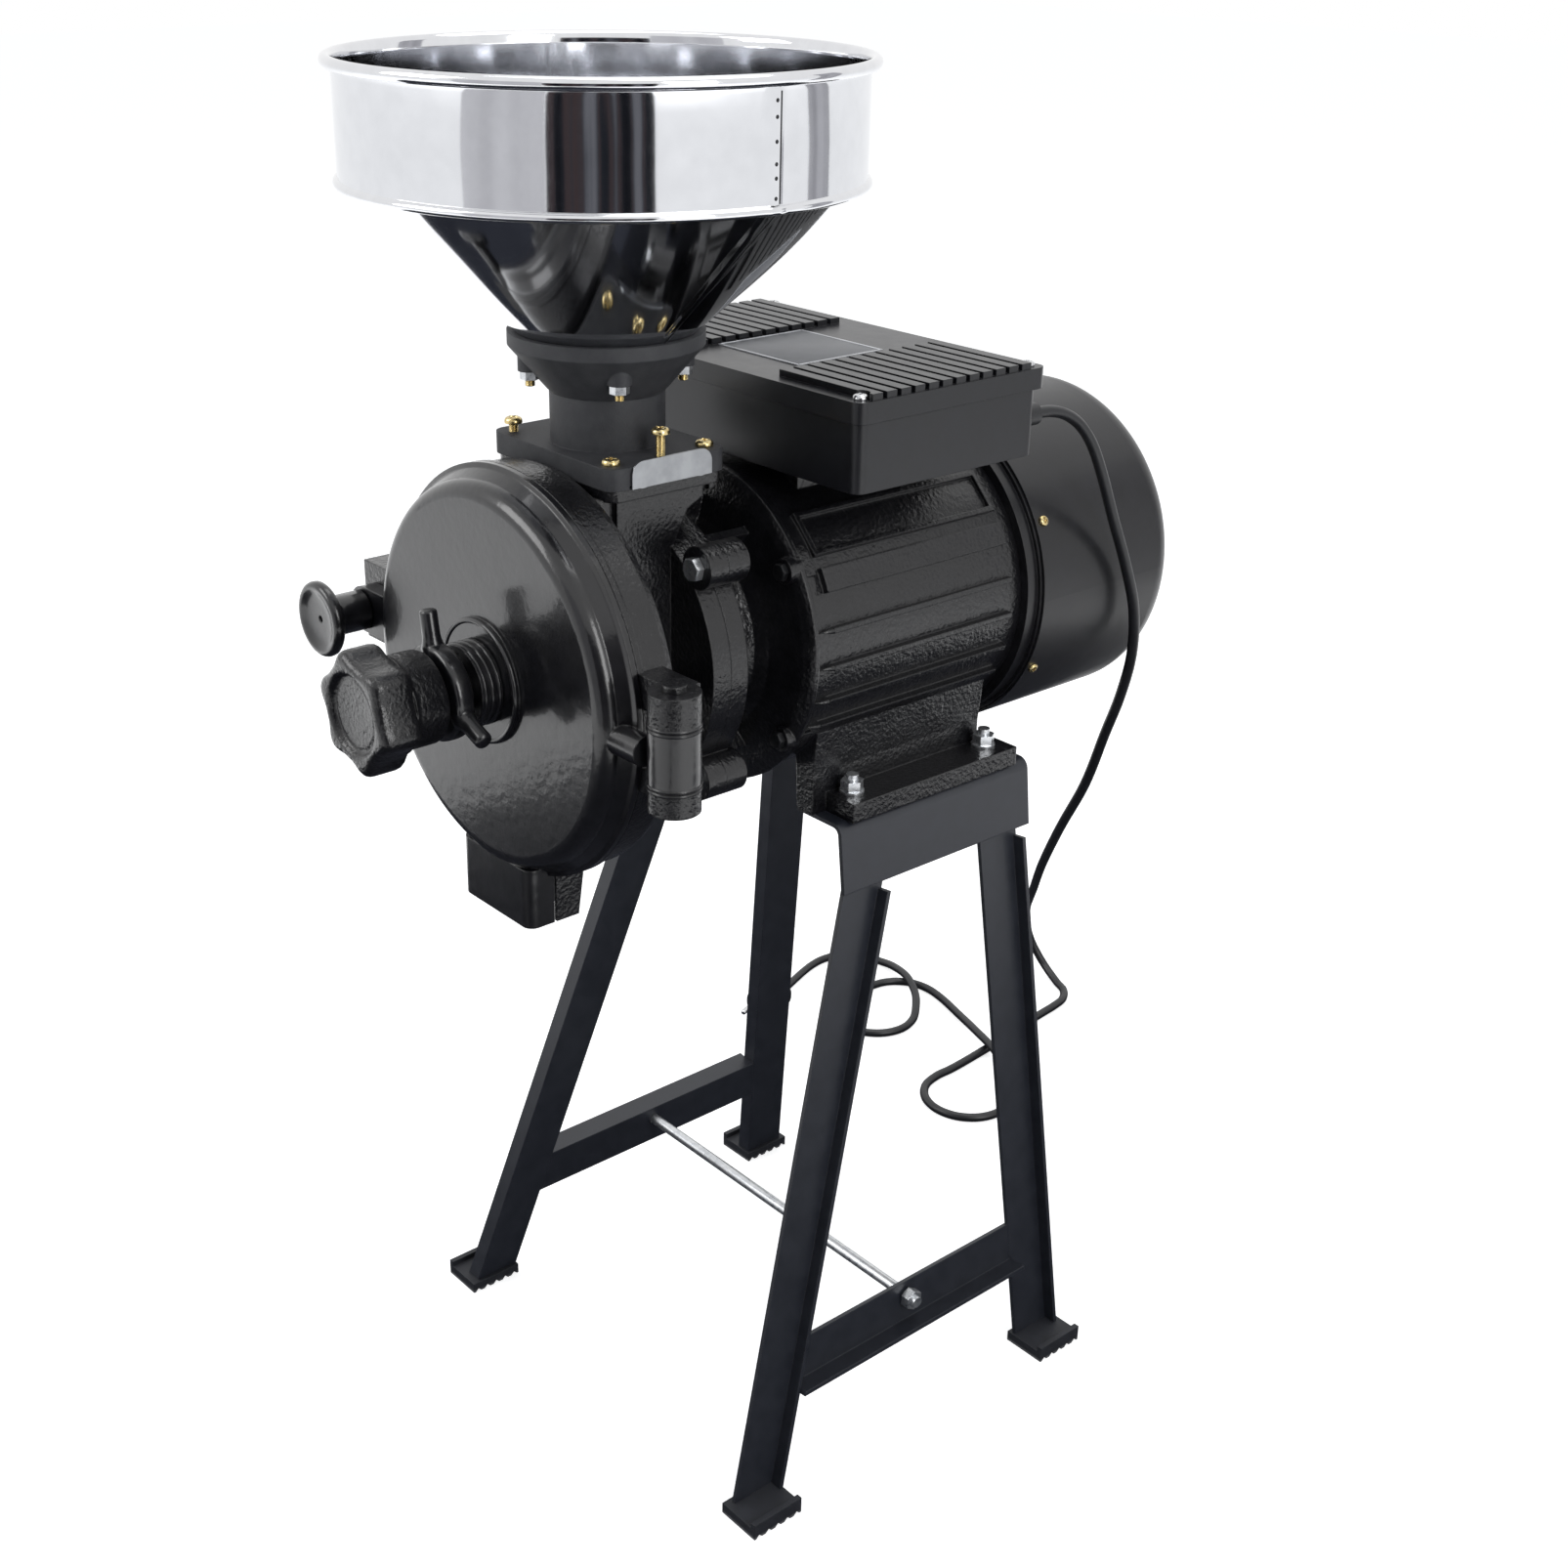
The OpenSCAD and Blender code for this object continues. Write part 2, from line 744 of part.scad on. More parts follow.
module motor_shaft() {
    tail_y = fan_y0 + fan_l + tail_over;
    fat_y0 = front_bearing_y + bearing_w + gap;
    fat_y1 = rear_bearing_y - gap;
    color("#b9bcc0") about_shaft() polygon([
        [0, shaft_tip_y], [rear_shaft_r, shaft_tip_y], [rear_shaft_r, auger_y0], [shaft_r, auger_y0],
        [shaft_r, fat_y0], [fat_shaft_r, fat_y0], [fat_shaft_r, fat_y1], [rear_shaft_r, fat_y1],
        [rear_shaft_r, tail_y], [0, tail_y]]);
}
module bearing(y, r) {
    color("#c3c6ca") about_shaft() translate([r + fit, y]) square([bearing_r - r - fit, bearing_w]);
}
module front_bearing() { bearing(front_bearing_y, shaft_r); }
module rear_bearing() { bearing(rear_bearing_y, rear_shaft_r); }
module cooling_fan() {
    color("#1a1b1d") difference() {
        union() {
            ycyl(fan_y0, fan_y0 + fan_l, fan_hub_r);
            ycyl(fan_y0, fan_y0 + fan_disc_t, fan_tip_r - fan_disc_in);
            for (i = [0:fan_blades - 1]) translate([0, 0, shaft_z]) rotate([0, i * 360 / fan_blades, 0])
                box([fan_hub_r - cut, fan_y0, -fan_blade_t / 2], [fan_tip_r, fan_y0 + fan_l, fan_blade_t / 2]);
        }
        ycyl(fan_y0 - cut, fan_y0 + fan_l + cut, rear_shaft_r + fit);
    }
}

// Draws its children at each screw of the fan cover, pointing outward from the shaft
module at_fan_screws() {
    for (a = fan_screw_angles) translate([0, fan_screw_y, shaft_z]) rotate([0, 90 - a, 0])
        translate([0, 0, fan_cover_r]) children();
}
module fan_cover() {
    flat_r = fan_cover_r - fan_round;
    color("#1b1c1f") difference() {
        about_shaft() difference() {
            union() {
                translate([0, fan_rim_y]) square([fan_cover_r, fan_cover_l - fan_round]);
                translate([0, fan_rim_y]) square([flat_r, fan_cover_l]);
                translate([flat_r, fan_rear_y - fan_round]) circle(fan_round);
            }
            translate([0, fan_rim_y - cut]) square([fan_cover_r - fan_wall,
                fan_cover_l - fan_round + cut]);
            translate([0, fan_rim_y - cut]) square([flat_r, fan_cover_l - fan_wall + cut]);
            translate([flat_r, fan_rear_y - fan_round]) circle(fan_round - fan_wall);
        }
        for (i = [0:vent_slots - 1]) translate([0, fan_rear_y, shaft_z]) rotate([0,
            i * 360 / vent_slots, 0])
            box([vent_in_r, -2 * cut, -vent_w / 2], [vent_out_r, cut, vent_w / 2]);
        at_fan_screws() cylinder(h = fan_screw_hole, r = fan_screw_r + fit, center = true);
    }
}
module fan_cover_screws() {
    color("#c9a55a") at_fan_screws() {
        translate([0, 0, -fan_screw_l]) cylinder(h = fan_screw_hole, r = fan_screw_r);
        translate([0, 0, fit]) cylinder(h = fan_head_t, r = fan_head_r);
    }
}

// Capacitor box on top of the motor
module at_lid_screws() {
    for (x = [-1, 1], y = [-1, 1])
        translate([x * (lid_w / 2 - lid_screw_at), lid_y + y * (lid_l / 2 - lid_screw_at), 0]) children();
}
module capacitor_box() {
    w = lid_w - 2 * box_in;
    l = lid_l - 2 * box_in;
    color("#191a1d") difference() {
        translate([0, lid_y, box_z]) linear_extrude(box_h) rounded(w, l, box_corner);
        difference() {
            translate([0, lid_y, box_z + box_wall]) linear_extrude(box_h)
                rounded(w - 2 * box_wall, l - 2 * box_wall, box_corner - box_wall);
            at_lid_screws() translate([0, 0, box_z]) cylinder(h = box_h, r = boss_r);
        }
        at_lid_screws() translate([0, 0, box_z + 2 * box_wall]) cylinder(h = box_h, r = 2 + fit);
        ycyl(box_rear_y - box_wall - cut, box_rear_y + cut, gland_r - 2 + fit, gland_x, gland_z);
    }
}
module box_lid() {
    pitch = (lid_l - 2 * rib_margin) / rib_count;
    y0 = lid_y - lid_l / 2 + rib_margin;
    box_top = box_z + box_h;
    color("#1c1d20") difference() {
        union() {
            translate([0, lid_y, lid_z0]) linear_extrude(lid_plate_z - lid_z0) rounded(lid_w, lid_l,
                box_corner);
            for (i = [0:rib_count - 1], side = [0, 1]) mirror([side, 0, 0])
                box([rib_in, y0 + i * pitch, lid_plate_z - cut], [lid_w / 2 - 1,
                    y0 + i * pitch + rib_w, rib_top_z]);
        }
        translate([0, lid_y, lid_z0 - cut]) linear_extrude(box_top - lid_z0 + cut)
            rounded(lid_w - 2 * box_in + 2 * seat, lid_l - 2 * box_in + 2 * seat, box_corner);
        translate([0, lid_y, lid_z0 - cut]) linear_extrude(lid_plate_z - lid_z0 - lid_t + cut)
            rounded(lid_w - 10 * box_wall, lid_l - 10 * box_wall, box_corner);
        at_lid_screws() translate([0, 0, lid_z0 - cut]) cylinder(h = cap_r, r = 2 + fit);
        at_lid_screws() translate([0, 0, lid_plate_z]) cylinder(h = cap_r, r = lid_screw_r + 1);
    }
}
module lid_screws() {
    color("#d4d5d6") at_lid_screws() {
        translate([0, 0, lid_plate_z - lid_screw_l]) cylinder(h = lid_screw_l + 1, r = lid_thread_r);
        translate([0, 0, lid_plate_z]) cylinder(h = lid_screw_h, r = lid_screw_r);
    }
}
module capacitors() {
    color("#d9d8d2") for (y = [-1, 1])
        xcyl(-cap_l / 2, cap_l / 2, cap_r, lid_y + y * cap_gap / 2, box_z + box_wall + cap_r);
}
module label_plate() {
    color("#8e9196") translate([label_x, label_y,
        lid_plate_z]) linear_extrude(label_t) rounded(label_w, label_l, 2);
}
module cord_gland() {
    inner_y = box_rear_y - box_wall;
    color("#121315") difference() {
        union() {
            ycyl(inner_y, box_rear_y + cut, gland_r - 2, gland_x, gland_z);
            ycyl(box_rear_y, box_rear_y + gland_l, gland_r, gland_x, gland_z);
        }
        ycyl(inner_y - cut, box_rear_y + 2, cord_d / 2, gland_x, gland_z);
    }
}

// Points round a loop of the cord on the floor, from one angle to another
loop_r = 38;
loop_step = 30;
floor_z = 4;
function bow(x, y, from, to, step = loop_step) = let (n = round(abs(to - from) / step)) [
    for (i = [0:n]) let (a = from + (to - from) * i / n) [x + loop_r * cos(a), y + loop_r * sin(a),
        floor_z]];

// Route of the power cord, from its gland past the fan cover, down to the floor and to the plug
cord_start = [gland_x, box_rear_y + gland_l, gland_z];
cord_fall = [
    cord_start, [112.5, 150, 693.4], [113.5, 164, 689.5], [115, 177, 681], [117, 188, 667], [119,
        198, 646],
    [120.5, 211, 615], [121.5, 227, 580], [121, 241, 545], [115, 251, 508], [103, 258, 472], [86,
        266, 435],
    [56, 286, 380], [2, 327, 312], [-58, 380, 240], [-112, 435, 178], [-160, 487, 131], [-195, 526, 98],
    [-215, 549, 73], [-222, 560, 52], [-220, 567, 32], [-207, 571, 13]
];
cord_near = [[-153, 510, 4], [-150, 484, 4], [-144, 440, 4], [-140, 400, 4], [-138, 372, 4]];
cord_over = [[-79, 389, 6], [-100, 403, 9], [-128, 416, 12], [-165, 430, 10], [-200, 444, 6], [-232,
    455, 4]];
cord_back = [[-231, 418, 7], [-249, 435, 10], [-275, 449, 12], [-303, 458, 8]];
cord_last_run = [[-361, 405, 4], [-355, 384, 4], [-343, 352, 4]];
cord_route = concat(
    cord_fall, bow(-193, 529, 78, 0, 26), cord_near, bow(-100, 352, 180, 390), cord_over,
    bow(-255, 420, 90, 180), bow(-255, 386, 180, 390), cord_back, bow(-324, 422, 90, 180), cord_last_run);

// Points between those of the route, on a smooth curve through them
function blend(a, b, c, d, t) = 0.5 * (2 * b + (c - a) * t + (2 * a - 5 * b + 4 * c - d) * t * t
    + (3 * b - a - 3 * c + d) * t * t * t);
function route_at(p, i) = p[max(0, min(len(p) - 1, i))];
cord_steps = 2;
cord_last = len(cord_route) - 1;
cord_path = concat([for (i = [0:cord_last - 1], s = [0:cord_steps - 1])
    blend(route_at(cord_route, i - 1), route_at(cord_route, i), route_at(cord_route, i + 1),
        route_at(cord_route, i + 2), s / cord_steps)], [cord_route[cord_last]]);
cord_sides = 10;
function unit(v) = v / norm(v);
function heading(p, i) = i == 0 ? [0, 1, 0] : i == len(p) - 1 ? plug_dir : unit(p[i + 1] - p[i - 1]);
function across(v, d) = unit(v - (v * d) * d);
plug_flat = cord_route[cord_last] - cord_route[cord_last - 1];
plug_dir = unit([plug_flat[0], plug_flat[1], 0]);
cord_ends = len(cord_path) - 1;
cord_side = [for (i = 0, v = [1, 0, 0]; i <= cord_ends; i = i + 1,
    v = i <= cord_ends ? across(v, heading(cord_path, i)) : v) across(v, heading(cord_path, i))];
cord_points = [for (i = [0:cord_ends], k = [0:cord_sides - 1])
    let (d = heading(cord_path, i), u = cord_side[i], w = cross(d, u), a = 360 * (k + 1 / 2) / cord_sides)
    cord_path[i] + cord_d / 2 * (cos(a) * u + sin(a) * w)];
cord_faces = concat(
    [[for (k = [0:cord_sides - 1]) k]],
    [for (i = [0:cord_ends - 1], k = [0:cord_sides - 1])
        let (a = i * cord_sides + k, b = i * cord_sides + (k + 1) % cord_sides)
        [b, a, a + cord_sides, b + cord_sides]],
    [[for (k = [cord_sides - 1:-1:0]) cord_ends * cord_sides + k]]);
module power_cord() { color("#16171a") polyhedron(points = cord_points, faces = cord_faces); }

// The plug lies flat on the floor at the cord's end, with two round pins
plug_r = 17;
plug_l = 34;
plug_neck_r = 6;
plug_neck_l = 16;
pin_gap = 19;
plug_pin_r = 2.4;
plug_pin_l = 19;
plug_lift = 4;
module power_plug() {
    color("#16171a") translate(cord_route[cord_last]) rotate([0, 0, atan2(plug_dir[1], plug_dir[0])]) {
        rotate([0, 90, 0]) cylinder(h = plug_neck_l, r1 = plug_lift - gap, r2 = plug_lift);
        translate([plug_neck_l, -plug_r, -plug_lift]) cube([plug_l, 2 * plug_r, plug_h]);
        for (y = [-1, 1]) translate([plug_neck_l + plug_l, y * pin_gap / 2, plug_lift])
            rotate([0, 90, 0]) cylinder(h = plug_pin_l, r = plug_pin_r);
    }
}

// Half of the hinge lug between two heights, from the ring out to the knuckle
module lug(z0, z1, y0, y1) {
    zcyl(z0, z1, knuckle_r, hinge_x, joint_y);
    box([arm_x, y0, z0], [hinge_x, y1, z1]);
}

// Half of the outlet chute, with a sloping rear wall or a round-cornered front wall
module rear_chute(margin, low) {
    w = chute_half_w - margin;
    front = margin > 0 ? joint_y - cut : joint_y + gap / 2;
    along_x(-w, w) polygon([
        [front, low], [chute_back_y - margin, low], [chute_back_y + chute_slope - margin, chute_low_z + chute_top],
        [front, chute_low_z + chute_top]]);
}
module front_chute(margin, low, high) {
    y0 = chute_front_y + margin;
    w = 2 * (chute_half_w - margin);
    r = chute_corner - margin;
    translate([0, joint_y - gap - (joint_y - gap - y0) / 2, low]) linear_extrude(high - low) {
        translate([0, r / 2]) square([w, joint_y - gap - y0 - r], center = true);
        square([w - 2 * r, joint_y - gap - y0], center = true);
        for (x = [-1, 1]) translate([x * (w / 2 - r), r - (joint_y - gap - y0) / 2]) circle(r);
    }
}
module grinding_housing() {
    rear_y = flange_front_y;
    color("#121316") difference() {
        union() {
            about_shaft() polygon(concat(
                [[0, joint_y], [head_r, joint_y], [head_r, joint_y + lip_t],
                    [head_r - rim_round[0][0], joint_y + lip_t + 1]],
                [for (p = rim_round) [head_r - p[0], housing_back_y - p[1]]], [[0, housing_back_y]]));
            ycyl(housing_back_y - cut, rear_y + cut, barrel_r + barrel_wall);
            ycyl(rear_y, shield_front_y, shield_ring_r);
            at_head_bolts() ycyl(rear_y, shield_front_y, lug_r);
            along_x(-throat_half_w, throat_half_w) polygon([
                [housing_back_y - cut, shaft_z], [rear_y + cut, shaft_z], [rear_y + cut, throat_bend_z],
                [throat_rear_y - throat_back_step, throat_bend_z + throat_back_step],
                [throat_rear_y, throat_bend_z + throat_back_rise],
                [throat_rear_y, throat_top_z], [inlet_y - throat_front, throat_top_z],
                [inlet_y - throat_front, throat_front_z], [housing_back_y - cut, throat_low_z]]);
            translate([0, inlet_y, throat_top_z - seat_t]) linear_extrude(seat_t)
                rounded(flange_w - seat_inset, flange_l - seat_inset, flange_corner);
            lug(hinge_arm_z1 + gap, hinge_top_z, joint_y, joint_y + arm_t);
            lug(hinge_low_z, hinge_arm_z0 - gap, joint_y, joint_y + arm_t);
            box([lug_x, joint_y, lug_z0], [-arm_x, lug_y1, lug_z1]);
            intersection() {
                rear_chute(0, chute_low_z);
                box([-chute_half_w, joint_y + chute_slit, chute_low_z], [chute_half_w,
                    housing_back_y, shaft_z]);
            }
        }
        ycyl(joint_y - cut, back_wall_y, cavity_r);
        ycyl(back_wall_y - cut, rear_y + barrel_over, barrel_r);
        ycyl(joint_y, shield_front_y + cut, shaft_r + 2 * gap);
        zcyl(throat_top_z - throat_bore_l, throat_top_z + cut, bore_r, 0, inlet_y);
        along_x(-throat_in_half, throat_in_half) polygon([
            [inlet_y - throat_in_front, shaft_z], [slope_y, shaft_z], [slope_y, throat_bend_z],
            [slope_y + throat_in_slope, throat_top_z - throat_in_low],
            [slope_y + throat_in_slope, throat_top_z - throat_in_top],
            [inlet_y - throat_in_front, throat_top_z - throat_in_top]]);
        at_head_bolts() ycyl(rear_y - cut, shield_front_y + cut, bolt_r + fit);
        zcyl(hinge_low_z - cut, hinge_top_z + cut, pin_r + fit, hinge_x, joint_y);
        ycyl(joint_y - cut, lug_y1 + cut, stud_r + stud_room, latch_x);
        intersection() {
            rear_chute(chute_wall, chute_low_z - cut);
            box([-chute_half_w, joint_y - cut, chute_low_z - cut], [chute_half_w, back_wall_y, shaft_z]);
        }
        at_flange_screws() cylinder(h = flange_hole_l, r = flange_screw_r + fit, center = true);
    }
}
module at_flange_screws() {
    for (x = [-1, 1], y = [-1, 1]) translate([x * screw_x, inlet_y + y * screw_dy, flange_z0]) children();
}
module housing_bolts() {
    color("#b9bbbd") at_head_bolts() {
        ycyl(flange_front_y, shield_neck_y + 2, bolt_r);
        translate([0, flange_front_y, shaft_z]) rotate([90, 0, 0]) linear_extrude(head_bolt_t) hexagon(bolt_af);
    }
}
module hinge_pin() {
    color("#1a1b1e") {
        zcyl(pin_z0, pin_z1, pin_r, hinge_x, joint_y);
        zcyl(hinge_top_z, pin_z1, pin_r + 2, hinge_x, joint_y);
    }
}

// Grinding discs with teeth from the eye outward
module teeth(y) {
    for (i = [0:tooth_count - 1]) translate([0, y, shaft_z]) rotate([0, i * 360 / tooth_count, 0])
        box([turning_ring_r + disc_eye, -tooth_d, -tooth_w / 2], [disc_r + cut, tooth_d, tooth_w / 2]);
}
module at_disc_screws() { for (a = disc_screw_turns) at_angle(a, disc_screw_at) children(); }
module thrust_plate() {
    color("#6b6e72") difference() {
        union() {
            ycyl(plate_y0, fixed_y0, plate_r);
            for (x = [-guide_x, guide_x]) ycyl(plate_y0 - guide_l, plate_y0 + cut, guide_r, x);
        }
        at_disc_screws() ycyl(plate_y0 + 1, fixed_y0 + cut, disc_screw_r + fit);
    }
}
module fixed_disc() {
    color("#55585c") difference() {
        ycyl(fixed_y0, fixed_y1, disc_r);
        ycyl(fixed_y0 - cut, fixed_y1 + cut, disc_bore_r);
        teeth(fixed_y1);
        at_disc_screws() ycyl(fixed_y0 - cut, fixed_y1 + cut, disc_screw_r + fit);
        at_disc_screws() ycyl(fixed_y1 - disc_screw_head, fixed_y1 + cut, 2 * disc_screw_r + fit);
    }
}
module disc_screws() {
    color("#a0a3a6") at_disc_screws() {
        ycyl(plate_y0 + 1, fixed_y1 - 1, disc_screw_r);
        ycyl(fixed_y1 - disc_screw_head, fixed_y1 - disc_screw_gap, 2 * disc_screw_r);
    }
}
module rotating_disc() {
    color("#55585c") difference() {
        union() {
            about_shaft() translate([turning_ring_r, turning_y0]) square([disc_r - turning_ring_r,
                turning_t]);
            ycyl(turning_y0, turning_y1, turning_hub_r);
            for (a = disc_slot_turns) translate([0, 0, shaft_z]) rotate([0, -a, 0])
                box([0, turning_y0, -spoke_w / 2], [turning_ring_r + cut, turning_y1, spoke_w / 2]);
        }
        ycyl(turning_y0 - cut, turning_y1 + cut, rear_shaft_r + fit);
        teeth(turning_y0);
    }
}
module disc_nut() {
    color("#a0a3a6") difference() {
        translate([0, turning_y0, shaft_z]) rotate([90, 0,
            0]) linear_extrude(disc_nut_t) hexagon(disc_nut_af);
        ycyl(turning_y0 - disc_nut_t - cut, turning_y0 + cut, rear_shaft_r + fit);
    }
}
module feed_auger() {
    l = auger_y1 - auger_y0;
    color("#6f7277") difference() {
        union() {
            ycyl(auger_y0, auger_y1, auger_hub_r);
            translate([0, auger_y0, shaft_z]) rotate([-90, 0, 0])
                linear_extrude(height = l, twist = auger_turn, slices = auger_slices, $fn = auger_sides)
                    polygon([[0, -auger_root], [auger_r - auger_tip, -auger_side], [auger_r, 0],
            [auger_r - auger_tip, auger_side], [0, auger_root]]);
        }
        ycyl(auger_y0 - cut, auger_y1 + cut, shaft_r + fit);
    }
}

// Inlet with its flange, neck and the cone that holds the hopper
module at_hopper_bolts() {
    for (a = hopper_bolt_angles) translate([hopper_bolt_at * cos(a),
        inlet_y + hopper_bolt_at * sin(a), 0]) children();
}
module inlet_collar() {
    seat_low_z = collar_z1 - (hopper_cone_r(collar_z1) + seat - bore_r) / cone_share;
    color("#26272a") difference() {
        union() {
            translate([0, inlet_y,
                flange_z0]) linear_extrude(flange_z1 - flange_z0) rounded(flange_w, flange_l,
                    flange_corner);
            translate([0, inlet_y, 0]) rotate_extrude() polygon([
                [0, flange_z0], [neck_r, flange_z0], [neck_r, cone_z0 - 2], [cone_r0, cone_z0],
                    [collar_r, collar_z0],
                [collar_r, collar_z1], [0, collar_z1]]);
            at_hopper_bolts() translate([0, 0, spot_z]) cylinder(h = spot_t, r = spot_r);
        }
        translate([0, inlet_y, 0]) rotate_extrude() polygon([
            [0, flange_z0 - cut], [bore_r, flange_z0 - cut], [bore_r, seat_low_z],
            [hopper_cone_r(collar_z1 + cut) + seat, collar_z1 + cut], [0, collar_z1 + cut]]);
        at_hopper_bolts() translate([0, 0, spot_z - cut]) cylinder(h = bolt_hole_l, r = hopper_bolt_r + fit);
        at_hopper_bolts() translate([0, 0, spot_z - spot_cut_t]) cylinder(h = spot_cut_t, r = spot_r - gap);
        at_flange_screws() cylinder(h = flange_hole_l, r = flange_screw_r + fit, center = true);
        zcyl(gate_slot_z - cut, flange_z1 + cut, flange_screw_r + fit, gate_screw_x, inlet_y);
        box([gate_in - 1, inlet_y - gate_half_l - gate_room, flange_z0 - cut], [flange_w,
            inlet_y + gate_half_l + gate_room, gate_slot_z]);
    }
}
module pan_head() { cylinder(h = flange_head_h, r1 = flange_head_r, r2 = flange_head_r * 0.7); }
module flange_screws() {
    color("#c8a04e") for (x = [-1, 1], y = [-1, 1]) {
        up = x < 0 && y < 0 ? raised : 0;
        translate([x * screw_x, inlet_y + y * screw_dy, flange_z1 + up]) {
            pan_head();
            translate([0, 0, -flange_screw_reach]) cylinder(h = flange_screw_reach + 1,
                r = flange_screw_r);
        }
    }
}
module gate_screw() {
    color("#c8a04e") {
        zcyl(gate_slot_z + gap, gate_screw_head_z + 1, flange_screw_r, gate_screw_x, inlet_y);
        translate([gate_screw_x, inlet_y, gate_screw_head_z]) pan_head();
    }
}
module slide_gate() {
    z0 = flange_z0 + gate_lift;
    face = flange_w / 2 + gate_out;
    high = tab_top_z - z0;
    color("#b4b6b8") {
        box([gate_in, inlet_y - gate_half_l, z0], [face + gate_t, inlet_y + gate_half_l, z0 + gate_t]);
        translate([face, inlet_y, z0]) rotate([90, 0, 90]) linear_extrude(gate_t) {
            translate([-gate_half_l, 0]) square([2 * gate_half_l, high - tab_r]);
            translate([tab_r - gate_half_l, 0]) square([2 * (gate_half_l - tab_r), high]);
            for (side = [-1, 1]) translate([side * (gate_half_l - tab_r), high - tab_r]) circle(tab_r);
        }
    }
}

// Hopper of thin sheet, with a rolled rim and a bead
module hopper() {
    low_r = hopper_cone_r(hopper_low_z);
    color("#c4c6c9") difference() {
        translate([0, inlet_y, 0]) rotate_extrude() polygon([
            [low_r, hopper_low_z], [hopper_cone_r(bead_z - 2), bead_z - 2], [hopper_r, bead_z - 1],
                [hopper_r, bead_z + 1],
            [band_r, bead_z + 2], [band_r, rim_z - wall_end], [hopper_r + 1, rim_z - rim_roll],
            [hopper_r + rim_roll, rim_z - 1], [hopper_r + rim_roll, rim_z + 1], [hopper_r + 1,
                rim_z + rim_roll],
            [band_r, rim_z + rim_roll], [band_r - sheet_t, rim_z + 2], [band_r - sheet_t, bead_z],
            [low_r - sheet_t, hopper_low_z]]);
        at_hopper_bolts() translate([0, 0, hopper_low_z]) cylinder(h = bolt_hole_l, r = hopper_bolt_r + fit);
    }
}
module hopper_bolts() {
    z1 = collar_z1 - (hopper_cone_r(collar_z1) - hopper_bolt_at) / cone_share + bolt_head_lift;
    z0 = spot_z - hopper_nut_t - nut_under;
    color("#c8a04e") at_hopper_bolts() {
        translate([0, 0, z0]) cylinder(h = z1 - z0 + 1, r = hopper_bolt_r);
        translate([0, 0, z1]) cylinder(h = bolt_head_t, r = 2 * hopper_bolt_r);
    }
}
module hopper_nuts() {
    color("#c9cacb") at_hopper_bolts() translate([0, 0,
        spot_z - hopper_nut_t]) linear_extrude(hopper_nut_t)
        difference() {
            hexagon(hopper_nut_af);
            circle(hopper_bolt_r + fit);
        }
}

// Front cover, hinged on the right, with the bush of the adjusting screw and the front half of the chute
module front_cover() {
    back_y = joint_y - gap;
    wall_y = cover_front_y + cast_t;
    arm_z = (hinge_arm_z0 + hinge_arm_z1) / 2;
    inner_front = chute_front_y + chute_wall;
    color("#121316") difference() {
        union() {
            about_shaft() {
                polygon([
                    [0, cover_front_y], [cover_front_r - cover_round, cover_front_y],
                    [cover_front_r, cover_front_y + cover_round], [head_r - cover_edge, joint_y - lip_t - 1],
                    [head_r, joint_y - lip_t], [head_r, back_y], [0, back_y]]);
                intersection() {
                    translate([cover_front_r - cover_round,
                        cover_front_y + cover_round]) circle(cover_round);
                    translate([0, cover_front_y]) square([head_r, cover_round]);
                }
            }
            ycyl(cover_front_y - ring_low_t, cover_front_y + cut, ring_low_r);
            ycyl(cover_front_y - stem_boss_l, cover_front_y + cut, stem_boss_r);
            zcyl(hinge_arm_z0, hinge_arm_z1, knuckle_r, hinge_x, joint_y);
            xcyl(arm_x, hinge_x - knuckle_r + cut, arm_rod_r, joint_y - arm_rod_r - gap, arm_z);
            ycyl(ear_y0, back_y, ear_half_h, latch_x);
            box([latch_x, ear_y0, shaft_z - ear_half_h], [-arm_x, back_y, shaft_z + ear_half_h]);
            front_chute(0, chute_low_z, shaft_z - cavity_r - cut);
        }
        ycyl(wall_y, back_y + cut, cavity_r);
        ycyl(cover_front_y - stem_boss_l - cut, joint_y, screw_r + fit);
        for (x = [-guide_x, guide_x]) ycyl(wall_y - guide_skin, wall_y + cut, guide_r + fit, x);
        zcyl(hinge_arm_z0 - cut, hinge_arm_z1 + cut, pin_r + fit, hinge_x, joint_y);
        ycyl(ear_y0 - cut, back_y + cut, stud_r + fit, latch_x);
        front_chute(chute_wall, chute_low_z - cut, chute_low_z + chute_in);
        box([chute_wall - chute_half_w, wall_y, chute_low_z], [chute_half_w - chute_wall,
            back_y + cut, shaft_z - cavity_r + chute_mouth]);
        box([chute_wall - chute_half_w, back_y - chute_skin, chute_low_z - cut], [chute_half_w - chute_wall,
            back_y + cut, shaft_z - cavity_r + chute_mouth]);
    }
}
module adjusting_screw() {
    color("#55585c") ycyl(wheel_y0 + wheel_recess + 2, plate_y0 - gap, screw_r);
}
module hand_wheel() {
    lobe_at = wheel_r - lobe_r;
    color("#131417") difference() {
        union() {
            translate([0, wheel_rim_y1, shaft_z]) rotate([90, 0,
                0]) linear_extrude(wheel_rim_y1 - wheel_y0) {
                circle(lobe_at + lobe_web);
                for (i = [0:wheel_lobes - 1]) rotate(i * 360 / wheel_lobes) translate([lobe_at,
                    0]) circle(lobe_r);
            }
            ycyl(wheel_rim_y1 - cut, wheel_hub_y1, wheel_hub_r);
        }
        ycyl(wheel_y0 - cut, wheel_y0 + wheel_recess, wheel_recess_r);
        ycyl(wheel_y0 + wheel_recess + 2, wheel_hub_y1 + cut, screw_r + fit);
    }
}
